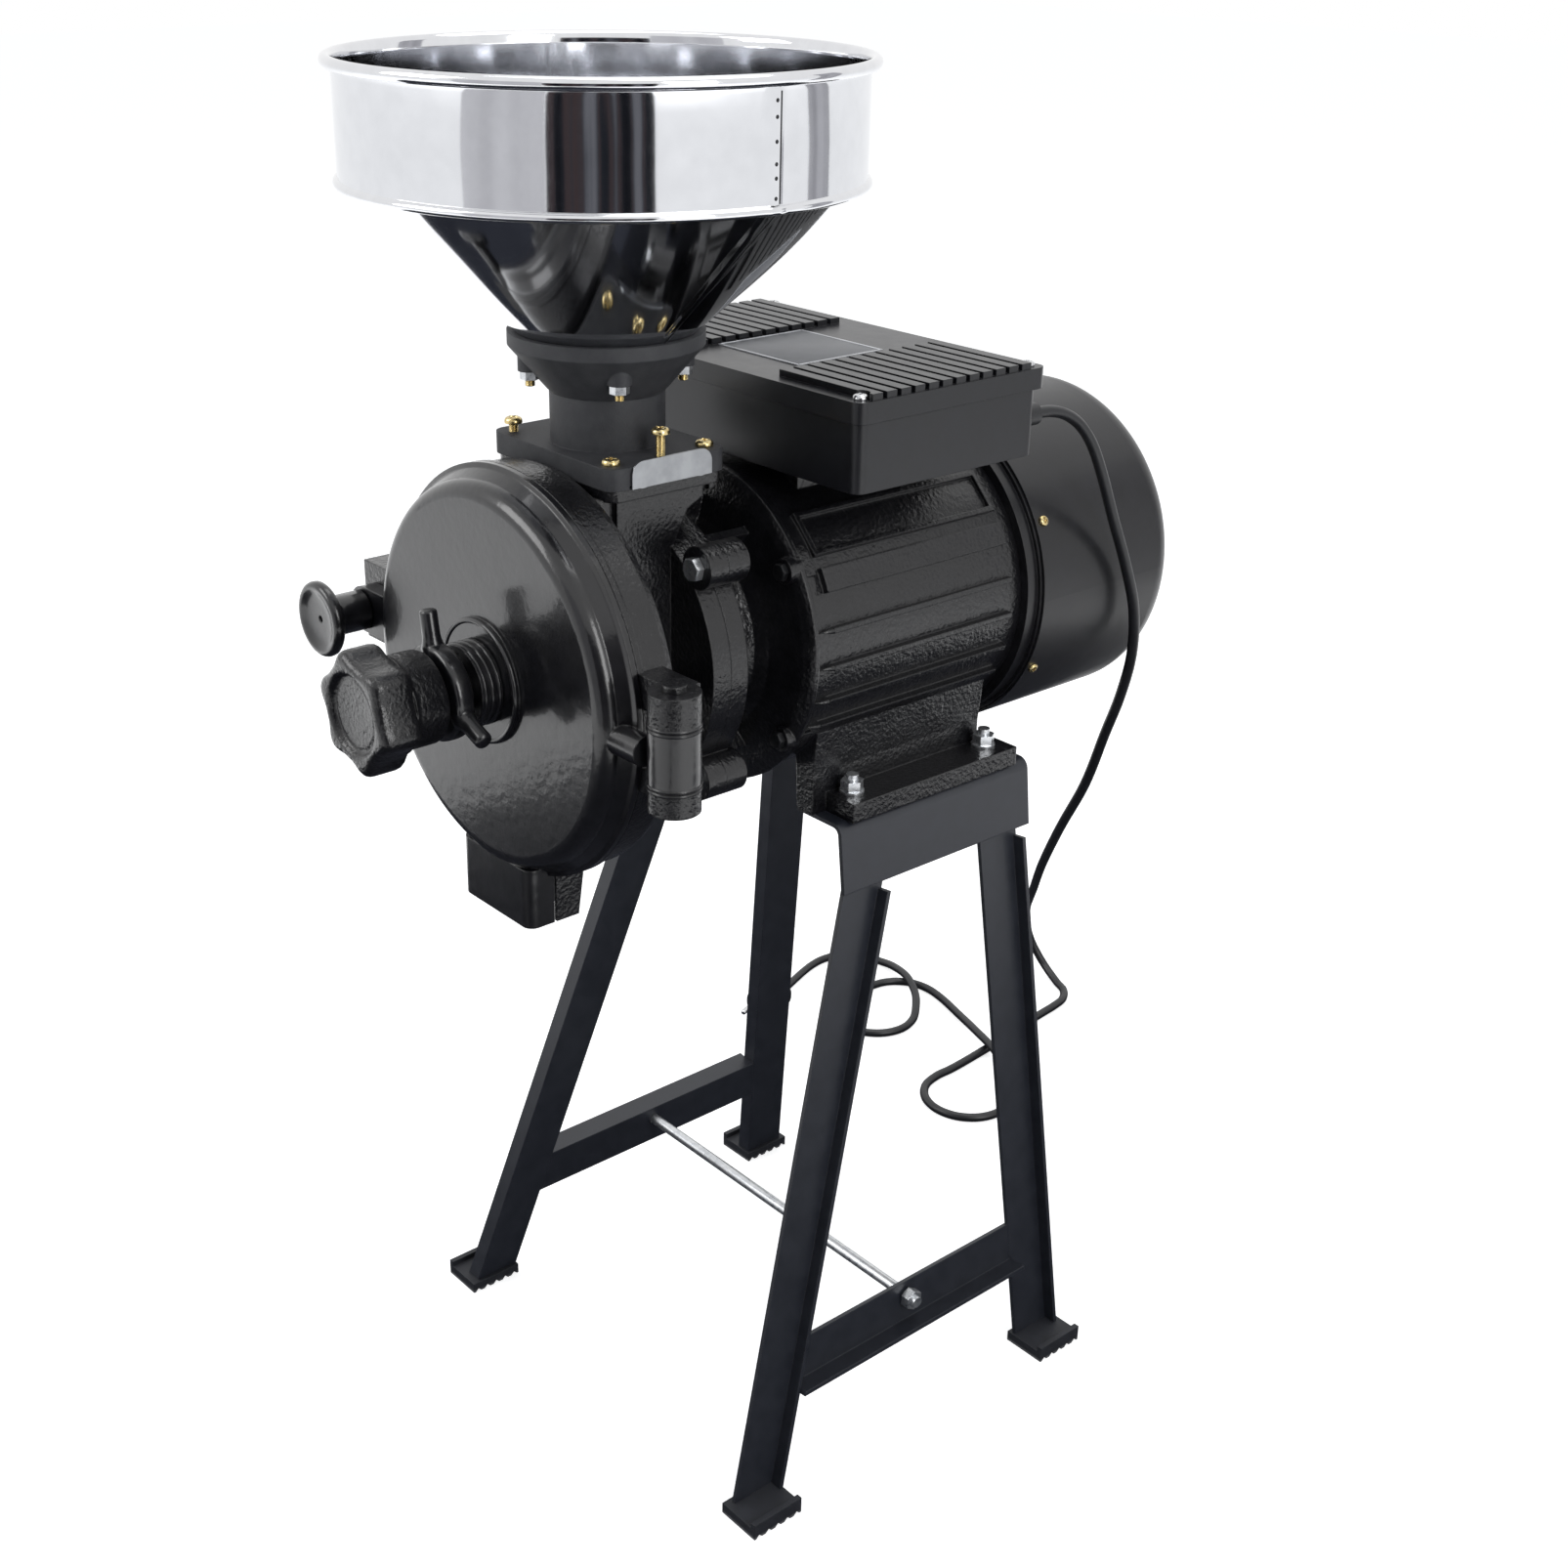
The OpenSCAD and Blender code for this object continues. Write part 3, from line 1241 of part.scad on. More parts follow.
module lock_ring() {
    color("#131417") difference() {
        union() {
            ycyl(ring_y0, ring_y1, ring_r);
            for (a = ring_arm_turns) translate([0, (ring_y0 + ring_y1) / 2, shaft_z]) rotate([0,
                a - ring_arm_at, 0])
                cylinder(h = ring_arm_l, r = ring_arm_r);
        }
        ycyl(ring_y0 - cut, ring_y1 + cut, screw_r + fit);
    }
}
module latch_knob() {
    color("#131417") difference() {
        translate([latch_x, 0, shaft_z]) rotate([-90, 0, 0]) rotate_extrude() polygon([
            [0, latch_face_y + knob_dish], [knob_dish_r, latch_face_y + knob_dish],
            [latch_disc_r - knob_dish_r, latch_face_y],
                [latch_disc_r - 2, latch_face_y],
            [latch_disc_r, latch_face_y + 2], [latch_disc_r, latch_disc_y - 2], [latch_disc_r - 2,
                latch_disc_y],
            [latch_hub_r, latch_disc_y + 2], [latch_hub_r, ear_y0 - gap], [stud_r, ear_y0 - gap],
            [stud_r, latch_tip_y - 1], [stud_r - 1, latch_tip_y], [0, latch_tip_y]]);
        ycyl(latch_face_y - cut, latch_face_y + knob_hole_l, knob_hole_r, latch_x);
    }
}

bar_right();
bar_left();
leg_front_right();
leg_rear_right();
leg_front_left();
leg_rear_left();
brace_right();
brace_left();
foot_front_right();
foot_rear_right();
foot_front_left();
foot_rear_left();
tie_rod();
tie_rod_nuts();
motor_bolts();
motor_nuts();
motor_body();
front_shield();
rear_shield();
shield_screws();
stator_core();
stator_windings();
rotor_core();
motor_shaft();
front_bearing();
rear_bearing();
cooling_fan();
fan_cover();
fan_cover_screws();
capacitor_box();
box_lid();
lid_screws();
capacitors();
label_plate();
cord_gland();
power_cord();
power_plug();
grinding_housing();
housing_bolts();
hinge_pin();
feed_auger();
rotating_disc();
disc_nut();
inlet_collar();
flange_screws();
gate_screw();
slide_gate();
hopper();
hopper_bolts();
hopper_nuts();
front_cover();
thrust_plate();
fixed_disc();
disc_screws();
adjusting_screw();
hand_wheel();
lock_ring();
latch_knob();
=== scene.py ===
"""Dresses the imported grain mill.

Its solids get their finishes, finer pieces stand in where they are plain, and light and camera are set.
"""

import logging
import math
from collections.abc import Callable
from dataclasses import dataclass, field
from enum import Enum

import bmesh
import bpy
from mathutils import Matrix, Vector


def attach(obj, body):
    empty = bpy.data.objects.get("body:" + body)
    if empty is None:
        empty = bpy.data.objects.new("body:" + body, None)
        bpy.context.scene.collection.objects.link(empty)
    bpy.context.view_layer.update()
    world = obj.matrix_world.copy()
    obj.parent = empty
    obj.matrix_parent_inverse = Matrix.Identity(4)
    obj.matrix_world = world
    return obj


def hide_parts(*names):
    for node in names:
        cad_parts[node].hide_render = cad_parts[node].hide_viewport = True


log = logging.getLogger("mill")
logging.basicConfig(level=logging.INFO, format="%(message)s")

MM = 0.001
UP = (0.0, 0.0, 1.0)
FRONT = (0.0, -1.0, 0.0)
WHITE = (1.0, 1.0, 1.0, 1.0)
Point = tuple[float, float, float]
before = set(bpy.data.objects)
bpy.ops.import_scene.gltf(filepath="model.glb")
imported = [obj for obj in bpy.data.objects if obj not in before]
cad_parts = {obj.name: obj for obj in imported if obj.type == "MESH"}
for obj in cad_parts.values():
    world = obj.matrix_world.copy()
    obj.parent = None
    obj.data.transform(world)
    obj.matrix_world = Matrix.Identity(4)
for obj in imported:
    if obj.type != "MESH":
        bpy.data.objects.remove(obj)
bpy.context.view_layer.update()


def linear(colour: str) -> tuple[float, float, float, float]:
    """Linear colour of an sRGB hex string.

    Args:
        colour: six hex digits after a hash.

    Returns:
        Red, green, blue and alpha, ready for a shader socket.
    """
    values = [int(colour[i : i + 2], 16) / 255 for i in (1, 3, 5)]
    low = [v / 12.92 if v <= 0.04045 else ((v + 0.055) / 1.055) ** 2.4 for v in values]
    return (low[0], low[1], low[2], 1.0)


def add_node(tree: bpy.types.NodeTree, kind: str, **settings: object) -> bpy.types.Node:
    """Adds a shader node and sets its properties and its unlinked sockets.

    Args:
        tree: the material's node tree.
        kind: the node's class name.
        settings: properties by name, or sockets by name with blanks as underscores.

    Returns:
        The new node.
    """
    node = tree.nodes.new(kind)
    for name, value in settings.items():
        if hasattr(node, name):
            setattr(node, name, value)
        else:
            node.inputs[name.replace("_", " ")].default_value = value
    return node


def add_object(name: str, data: bpy.types.ID) -> bpy.types.Object:
    """Makes an object and links it to the scene.

    Args:
        name: its name.
        data: its mesh, curve, lamp or camera.

    Returns:
        The new object.
    """
    obj = bpy.data.objects.new(name, data)
    bpy.context.scene.collection.objects.link(obj)
    return obj


def new_material(name: str) -> tuple[bpy.types.Material, bpy.types.NodeTree, bpy.types.NodeSocket]:
    """Makes a material that holds only its output node.

    Args:
        name: the material's name.

    Returns:
        The material, its node tree, and the socket that takes its surface.
    """
    material = bpy.data.materials.new(name)
    material.use_nodes = True
    tree = material.node_tree
    tree.nodes.clear()
    return material, tree, add_node(tree, "ShaderNodeOutputMaterial").inputs["Surface"]


@dataclass(frozen=True)
class Finish:
    """One real surface: its colour, sheen, fine grain and slow waves, in millimetres."""

    name: str
    colour: str
    shade: str = ""
    metallic: float = 0.0
    roughness: float = 0.5
    rough_spread: float = 0.06
    coat: float = 0.0
    coat_roughness: float = 0.1
    grain_mm: float = 1.0
    grain_depth: float = 0.0
    wave_mm: float = 30.0
    wave_depth: float = 0.0
    mottle_mm: float = 12.0
    brushed: tuple[float, float, float] | None = None
    edge_mm: float = 0.6
    specular: float = 0.5
    blend: tuple[float, float] = (0.35, 0.65)

    def build(self) -> bpy.types.Material:
        """Makes the material.

        Returns:
            A material with mottled colour, uneven sheen, grain and softened edges.
        """
        material, tree, output = new_material(self.name)
        link = tree.links.new
        surface = add_node(
            tree,
            "ShaderNodeBsdfPrincipled",
            Metallic=self.metallic,
            Coat_Weight=self.coat,
            Coat_Roughness=self.coat_roughness,
            Specular_IOR_Level=self.specular,
        )
        link(surface.outputs["BSDF"], output)
        where = add_node(tree, "ShaderNodeTexCoord").outputs["Object"]
        scale = 1 / (self.mottle_mm * MM)
        patches = add_node(tree, "ShaderNodeTexNoise", Scale=scale, Detail=4.0, Roughness=0.55)
        link(where, patches.inputs["Vector"])
        ramp = add_node(tree, "ShaderNodeValToRGB")
        colours = (self.colour, self.shade or self.colour)
        for stop, at, colour in zip(ramp.color_ramp.elements, self.blend, colours):
            stop.position = at
            stop.color = linear(colour)
        link(patches.outputs["Fac"], ramp.inputs["Fac"])
        link(ramp.outputs["Color"], surface.inputs["Base Color"])
        sheen = add_node(
            tree,
            "ShaderNodeMapRange",
            To_Min=max(0.02, self.roughness - self.rough_spread),
            To_Max=min(1.0, self.roughness + self.rough_spread),
        )
        link(patches.outputs["Fac"], sheen.inputs["Value"])
        link(sheen.outputs["Result"], surface.inputs["Roughness"])
        normal = add_node(tree, "ShaderNodeBevel", samples=4, Radius=self.edge_mm * MM).outputs["Normal"]
        if self.wave_depth:
            normal = self.bump(tree, where, normal, self.wave_mm, self.wave_depth, 1.0)
        if self.grain_depth:
            normal = self.bump(tree, where, normal, self.grain_mm, self.grain_depth, 3.0)
        link(normal, surface.inputs["Normal"])
        link(normal, surface.inputs["Coat Normal"])
        return material

    def bump(
        self,
        tree: bpy.types.NodeTree,
        where: bpy.types.NodeSocket,
        normal: bpy.types.NodeSocket,
        size: float,
        depth: float,
        detail: float,
    ) -> bpy.types.NodeSocket:
        """Adds relief of one size to a normal.

        Args:
            tree: the material's node tree.
            where: the coordinates that the relief follows.
            normal: the normal before it.
            size: how wide its bumps are, in millimetres.
            depth: how deep they are, in millimetres.
            detail: octaves of finer relief.

        Returns:
            The normal with the relief.
        """
        if self.brushed:
            mapping = add_node(tree, "ShaderNodeMapping", Scale=self.brushed)
            tree.links.new(where, mapping.inputs["Vector"])
            where = mapping.outputs["Vector"]
        noise = add_node(tree, "ShaderNodeTexNoise", Scale=1 / (size * MM), Detail=detail, Roughness=0.5)
        tree.links.new(where, noise.inputs["Vector"])
        relief = add_node(tree, "ShaderNodeBump", Strength=1.0, Distance=depth * MM)
        tree.links.new(noise.outputs["Fac"], relief.inputs["Height"])
        tree.links.new(normal, relief.inputs["Normal"])
        return relief.outputs["Normal"]


@dataclass
class Palette:
    """The mill's finishes, made once and shared."""

    finishes: dict[str, Finish] = field(
        default_factory=lambda: {
            f.name: f
            for f in (
                # satin powder coat on the stand's bent steel
                Finish("powder_coat", "#1d2028", "#23262e", roughness=0.42, coat=0.15, coat_roughness=0.3,
                       grain_mm=0.6, grain_depth=0.02, wave_mm=25, wave_depth=0.03, edge_mm=0.9),
                # moulded rubber of the feet
                Finish("foot_rubber", "#1b1d23", "#22242b", roughness=0.6, grain_mm=0.8, grain_depth=0.03,
                       edge_mm=0.8),
                # bright zinc plate on bolts, nuts and rod
                Finish("zinc_plate", "#c4c7cb", "#dcdee0", metallic=0.9, roughness=0.3, rough_spread=0.1,
                       grain_mm=0.7, grain_depth=0.01, mottle_mm=4, edge_mm=0.5),
                # yellow zinc plate on the inlet's screws
                Finish("yellow_zinc", "#c9b27a", "#ddcc9c", metallic=1.0, roughness=0.25, rough_spread=0.08,
                       grain_mm=0.7, grain_depth=0.01, mottle_mm=3, edge_mm=0.5),
                # bright plate on the lid's screws
                Finish("bright_plate", "#cfd0d2", "#e0e1e2", metallic=1.0, roughness=0.18, edge_mm=0.5,
                       mottle_mm=3),
                # gloss black paint over the head's smooth casting
                Finish("gloss_black_paint", "#0e0e11", "#131317", roughness=0.3, coat=0.75,
                       coat_roughness=0.12, specular=0.3, grain_mm=6, grain_depth=0.12, wave_mm=45,
                       wave_depth=0.35, edge_mm=1.2),
                # gloss black paint over the rough sand casting
                Finish("rough_black_paint", "#0d0d10", "#131316", roughness=0.36, coat=0.75,
                       coat_roughness=0.12, specular=0.2, grain_mm=2.6, grain_depth=0.55, wave_mm=16,
                       wave_depth=0.5, edge_mm=1.5),
                # satin black paint on the spun fan cover
                Finish("fan_cover_paint", "#0f0f12", "#141418", roughness=0.38, coat=0.3, coat_roughness=0.22,
                       specular=0.35, grain_mm=4, grain_depth=0.03, wave_mm=60, wave_depth=0.15,
                       edge_mm=0.8),
                # satin moulded plastic of the capacitor box and its lid
                Finish("box_plastic", "#111216", "#15161b", roughness=0.36, coat=0.2, coat_roughness=0.2,
                       specular=0.35, grain_mm=0.5, grain_depth=0.015, wave_mm=40, wave_depth=0.08,
                       edge_mm=0.8),
                # bare satin label plate
                Finish("label_metal", "#5a5c60", "#66686c", metallic=0.35, roughness=0.42, grain_mm=0.6,
                       grain_depth=0.01, edge_mm=0.3),
                # bright border of the label plate
                Finish("label_edge", "#c4c6ca", "#d4d6da", metallic=0.3, roughness=0.3, edge_mm=0.2),
                # matt dark grey cast inlet
                Finish("inlet_casting", "#2a2b2f", "#353639", roughness=0.62, grain_mm=1.2, grain_depth=0.12,
                       wave_mm=14, wave_depth=0.15, edge_mm=1.0),
                # polished stainless sheet of the hopper
                Finish("polished_stainless", "#dcdde0", "#e1e2e5", metallic=1.0, roughness=0.07,
                       rough_spread=0.02, wave_mm=70, wave_depth=0.35, edge_mm=0.3),
                # brushed stainless of the gate
                Finish("brushed_stainless", "#8f9194", "#a0a2a5", metallic=1.0, roughness=0.3, grain_mm=0.5,
                       grain_depth=0.01, edge_mm=0.3),
                # bare cast iron of the discs and auger
                Finish("bare_iron", "#54565a", "#66686c", metallic=0.9, roughness=0.5, grain_mm=1.0,
                       grain_depth=0.06),
                # ground steel of the shaft and bearings
                Finish("ground_steel", "#b0b3b7", "#bdc0c3", metallic=1.0, roughness=0.22),
                # blackened steel of the motor's screws
                Finish("black_steel", "#1c1d1f", "#2a2b2d", metallic=0.6, roughness=0.4, edge_mm=0.5),
                # stacked sheets of the motor's cores
                Finish("core_sheets", "#5c5f63", "#6c6f74", metallic=0.9, roughness=0.45, grain_mm=0.6,
                       grain_depth=0.05),
                # varnished copper wire
                Finish("copper_wire", "#9a5a2c", "#b06a35", metallic=0.8, roughness=0.35, grain_mm=1.5,
                       grain_depth=0.3),
                # pale plastic of the capacitors' cases
                Finish("capacitor_case", "#cfcec8", "#dad9d3", roughness=0.4),
                # black jacket of the cord
                Finish("cord_jacket", "#121317", "#16171b", roughness=0.42, coat=0.1, coat_roughness=0.3,
                       grain_mm=0.8, grain_depth=0.01, edge_mm=0.2),
            )
        }
    )
    made: dict[str, bpy.types.Material] = field(default_factory=dict)

    def get(self, name: str) -> bpy.types.Material:
        """Material of a finish, made on its first use.

        Args:
            name: the finish's name.

        Returns:
            The shared material.
        """
        if name not in self.made:
            self.made[name] = self.finishes[name].build()
        return self.made[name]

    def dress(self, obj: bpy.types.Object, name: str) -> None:
        """Gives an object one finish on every face.

        Args:
            obj: the mesh to dress.
            name: the finish's name.
        """
        obj.data.materials.clear()
        obj.data.materials.append(self.get(name))


@dataclass
class Carried:
    """CAD nodes that keep their own solid, by finish."""

    palette: Palette
    nodes: dict[str, tuple[str, ...]] = field(
        default_factory=lambda: {
            "powder_coat": ("bar_right", "bar_left", "leg_front_right", "leg_rear_right", "leg_front_left",
                            "leg_rear_left", "brace_right", "brace_left"),
            "foot_rubber": ("foot_front_right", "foot_rear_right", "foot_front_left", "foot_rear_left"),
            "zinc_plate": ("tie_rod", "tie_rod_nuts", "motor_bolts", "motor_nuts", "housing_bolts",
                           "hopper_nuts"),
            "yellow_zinc": ("flange_screws", "gate_screw", "hopper_bolts", "fan_cover_screws"),
            "bright_plate": ("lid_screws",),
            "gloss_black_paint": ("front_cover", "latch_knob"),
            "rough_black_paint": ("grinding_housing", "motor_body", "front_shield", "hand_wheel",
                                  "lock_ring", "hinge_pin"),
            "fan_cover_paint": ("fan_cover", "rear_shield"),
            "box_plastic": ("capacitor_box", "box_lid", "cooling_fan"),
            "label_metal": ("label_plate",),
            "inlet_casting": ("inlet_collar",),
            "polished_stainless": ("hopper",),
            "brushed_stainless": ("slide_gate",),
            "bare_iron": ("feed_auger", "rotating_disc", "thrust_plate", "fixed_disc"),
            "ground_steel": ("motor_shaft", "front_bearing", "rear_bearing", "disc_nut", "disc_screws"),
            "black_steel": ("shield_screws", "adjusting_screw"),
            "core_sheets": ("stator_core", "rotor_core"),
            "copper_wire": ("stator_windings",),
            "capacitor_case": ("capacitors",),
            "cord_jacket": ("cord_gland", "power_cord"),
        }
    )

    def build(self) -> None:
        """Dresses every node in the list."""
        for finish, names in self.nodes.items():
            for name in names:
                self.palette.dress(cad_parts[name], finish)
        log.info("dressed %d solids", sum(len(n) for n in self.nodes.values()))


@dataclass
class Cord:
    """The power cord as one smooth curve on the route of its solid."""

    palette: Palette
    diameter: float = 0.0075
    ease: float = 6.0
    route: tuple[Point, ...] = ()
    plug: bpy.types.Object | None = None

    def build(self) -> bpy.types.Object:
        """Returns:
            The curve object.
        """
        data = bpy.data.curves.new("cord_line", "CURVE")
        data.dimensions = "3D"
        data.bevel_depth = self.diameter / 2
        data.bevel_resolution = 5
        data.resolution_u = 6
        data.use_fill_caps = True
        points = [Vector(p) * MM for p in self.route]
        spline = data.splines.new("BEZIER")
        spline.bezier_points.add(len(points) - 1)
        for i, (point, place) in enumerate(zip(spline.bezier_points, points)):
            before = points[max(i - 1, 0)]
            after = points[min(i + 1, len(points) - 1)]
            slope = (after - before) / self.ease
            point.co = place
            point.handle_left = place - slope
            point.handle_right = place + slope
        obj = add_object("cord_line", data)
        data.materials.append(self.palette.get("cord_jacket"))
        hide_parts("power_cord")
        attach(obj, "machine")
        return obj


class Axis(Enum):
    """Direction along which a shape is turned or drawn out."""

    X = "X"
    Y = "Y"
    Z = "Z"

    def point(self, u: float, v: float, along: float) -> Point:
        """Places a point of a cross-section on this axis.

        Args:
            u: first coordinate of the section.
            v: second coordinate of the section.
            along: distance along the axis.

        Returns:
            Its x, y and z.
        """
        if self is Axis.X:
            return (along, u, v)
        if self is Axis.Y:
            return (u, along, v)
        return (u, v, along)


def hexagon(across: float) -> Callable[[float], float]:
    """Radius of a hexagon by angle.

    Args:
        across: distance across its flats.

    Returns:
        A function from angle to radius.
    """
    return lambda angle: across / 2 / math.cos((angle % (math.pi / 3)) - math.pi / 6)


def rounded(corner: tuple[float, float], radius: float, start: float, end: float, steps: int) -> list:
    """Points of a round corner.

    Args:
        corner: centre of the round.
        radius: its radius.
        start: first angle in degrees.
        end: last angle in degrees.
        steps: how many spans it has.

    Returns:
        Its points in order.
    """
    turns = [math.radians(start + (end - start) * i / steps) for i in range(steps + 1)]
    return [(corner[0] + radius * math.cos(t), corner[1] + radius * math.sin(t)) for t in turns]


def circle(radius: Callable[[float], float], steps: int, turn: float = 0.0) -> list[tuple[float, float]]:
    """Points round an outline.

    Args:
        radius: its radius by angle.
        steps: how many points it has.
        turn: angle in radians by which it is turned.

    Returns:
        Its points in order.
    """
    points = []
    for i in range(steps):
        t = 2 * math.pi * i / steps
        r = radius(t)
        points.append((r * math.cos(t + turn), r * math.sin(t + turn)))
    return points


def corners(x: float, y: float) -> tuple[tuple[float, float], ...]:
    """The four corners of a rectangle round zero, from its half sizes."""
    return ((-x, -y), (-x, y), (x, -y), (x, y))


@dataclass
class Shape:
    """A mesh in the making, in millimetres."""

    name: str
    weld: float = 0.0005
    grid: bmesh.types.BMesh = field(default_factory=bmesh.new)

    def skin(self, rings: list[list[Point]], closed: bool = True) -> "Shape":
        """Joins rings of points with faces.

        Args:
            rings: rings with equally many points.
            closed: whether the last ring joins the first, instead of both being capped.

        Returns:
            This shape.
        """
        made = [[self.grid.verts.new(p) for p in ring] for ring in rings]
        count = len(rings[0])
        pairs = list(zip(made, made[1:])) + ([(made[-1], made[0])] if closed else [])
        for low, high in pairs:
            for i in range(count):
                j = (i + 1) % count
                self.grid.faces.new((low[i], low[j], high[j], high[i]))
        if not closed:
            self.grid.faces.new(made[0])
            self.grid.faces.new(made[-1])
        return self

    def lathe(
        self,
        profile: list,
        centre: tuple[float, float] = (0.0, 0.0),
        axis: Axis = Axis.Y,
        steps: int = 96,
        bulge: Callable[[float, float, float], float] | None = None,
    ) -> "Shape":
        """Turns a closed profile about an axis.

        Args:
            profile: radius and place along the axis, point by point.
            centre: where the axis crosses the section plane.
            axis: direction of the axis.
            steps: spans around.
            bulge: extra radius by angle, radius and place.

        Returns:
            This shape.
        """
        rings = []
        for r, s in profile:
            ring = circle(lambda t: r + (bulge(t, r, s) if bulge and r > 0 else 0), steps)
            rings.append([axis.point(centre[0] + u, centre[1] + v, s) for u, v in ring])
        return self.skin(rings)

    def block(self, low: Point, high: Point, edge: float) -> "Shape":
        """Adds a box with rounded edges.

        Args:
            low: lowest corner.
            high: highest corner.
            edge: radius of its edges.

        Returns:
            This shape.
        """
        (x0, y0, z0), (x1, y1, z1) = low, high
        made = [self.grid.verts.new(p) for p in (
            (x0, y0, z0), (x1, y0, z0), (x1, y1, z0), (x0, y1, z0),
            (x0, y0, z1), (x1, y0, z1), (x1, y1, z1), (x0, y1, z1))]
        sides = ((0, 3, 2, 1), (4, 5, 6, 7), (0, 1, 5, 4), (1, 2, 6, 5), (2, 3, 7, 6), (3, 0, 4, 7))
        faces = [self.grid.faces.new([made[i] for i in side]) for side in sides]
        edges = list({e for f in faces for e in f.edges})
        bmesh.ops.bevel(
            self.grid, geom=edges, offset=edge, segments=2, affect="EDGES", profile=0.5, material=-1
        )
        return self

    def move(self, matrix: Matrix, since: int = 0) -> "Shape":
        """Moves the points made since a mark.

        Args:
            matrix: the move.
            since: number of points to leave where they are.

        Returns:
            This shape.
        """
        self.grid.verts.ensure_lookup_table()
        bmesh.ops.transform(self.grid, matrix=matrix, verts=self.grid.verts[since:])
        return self

    def mark(self) -> int:
        """Number of points so far."""
        return len(self.grid.verts)

    def place(
        self, material: bpy.types.Material, body: str, slot: str, *nodes: str, smooth: float = 35.0
    ) -> bpy.types.Object:
        """Args:
            material: its finish.
            body: the body that it rides on.
            slot: its material slot in the record; not used.
            nodes: CAD nodes that it stands for.
            smooth: angle in degrees above which an edge stays sharp.

        Returns:
            The object.
        """
        bmesh.ops.remove_doubles(self.grid, verts=self.grid.verts[:], dist=self.weld)
        bmesh.ops.dissolve_degenerate(self.grid, dist=self.weld, edges=self.grid.edges[:])
        bmesh.ops.recalc_face_normals(self.grid, faces=self.grid.faces[:])
        bmesh.ops.scale(self.grid, vec=(MM, MM, MM), verts=self.grid.verts[:])
        for face in self.grid.faces:
            face.smooth = True
        mesh = bpy.data.meshes.new(self.name)
        self.grid.to_mesh(mesh)
        self.grid.free()
        mesh.set_sharp_from_angle(angle=math.radians(smooth))
        mesh.materials.append(material)
        obj = add_object(self.name, mesh)
        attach(obj, body)
        if nodes:
            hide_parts(*nodes)
        log.info("%s: %d faces", self.name, len(mesh.polygons))
        return obj


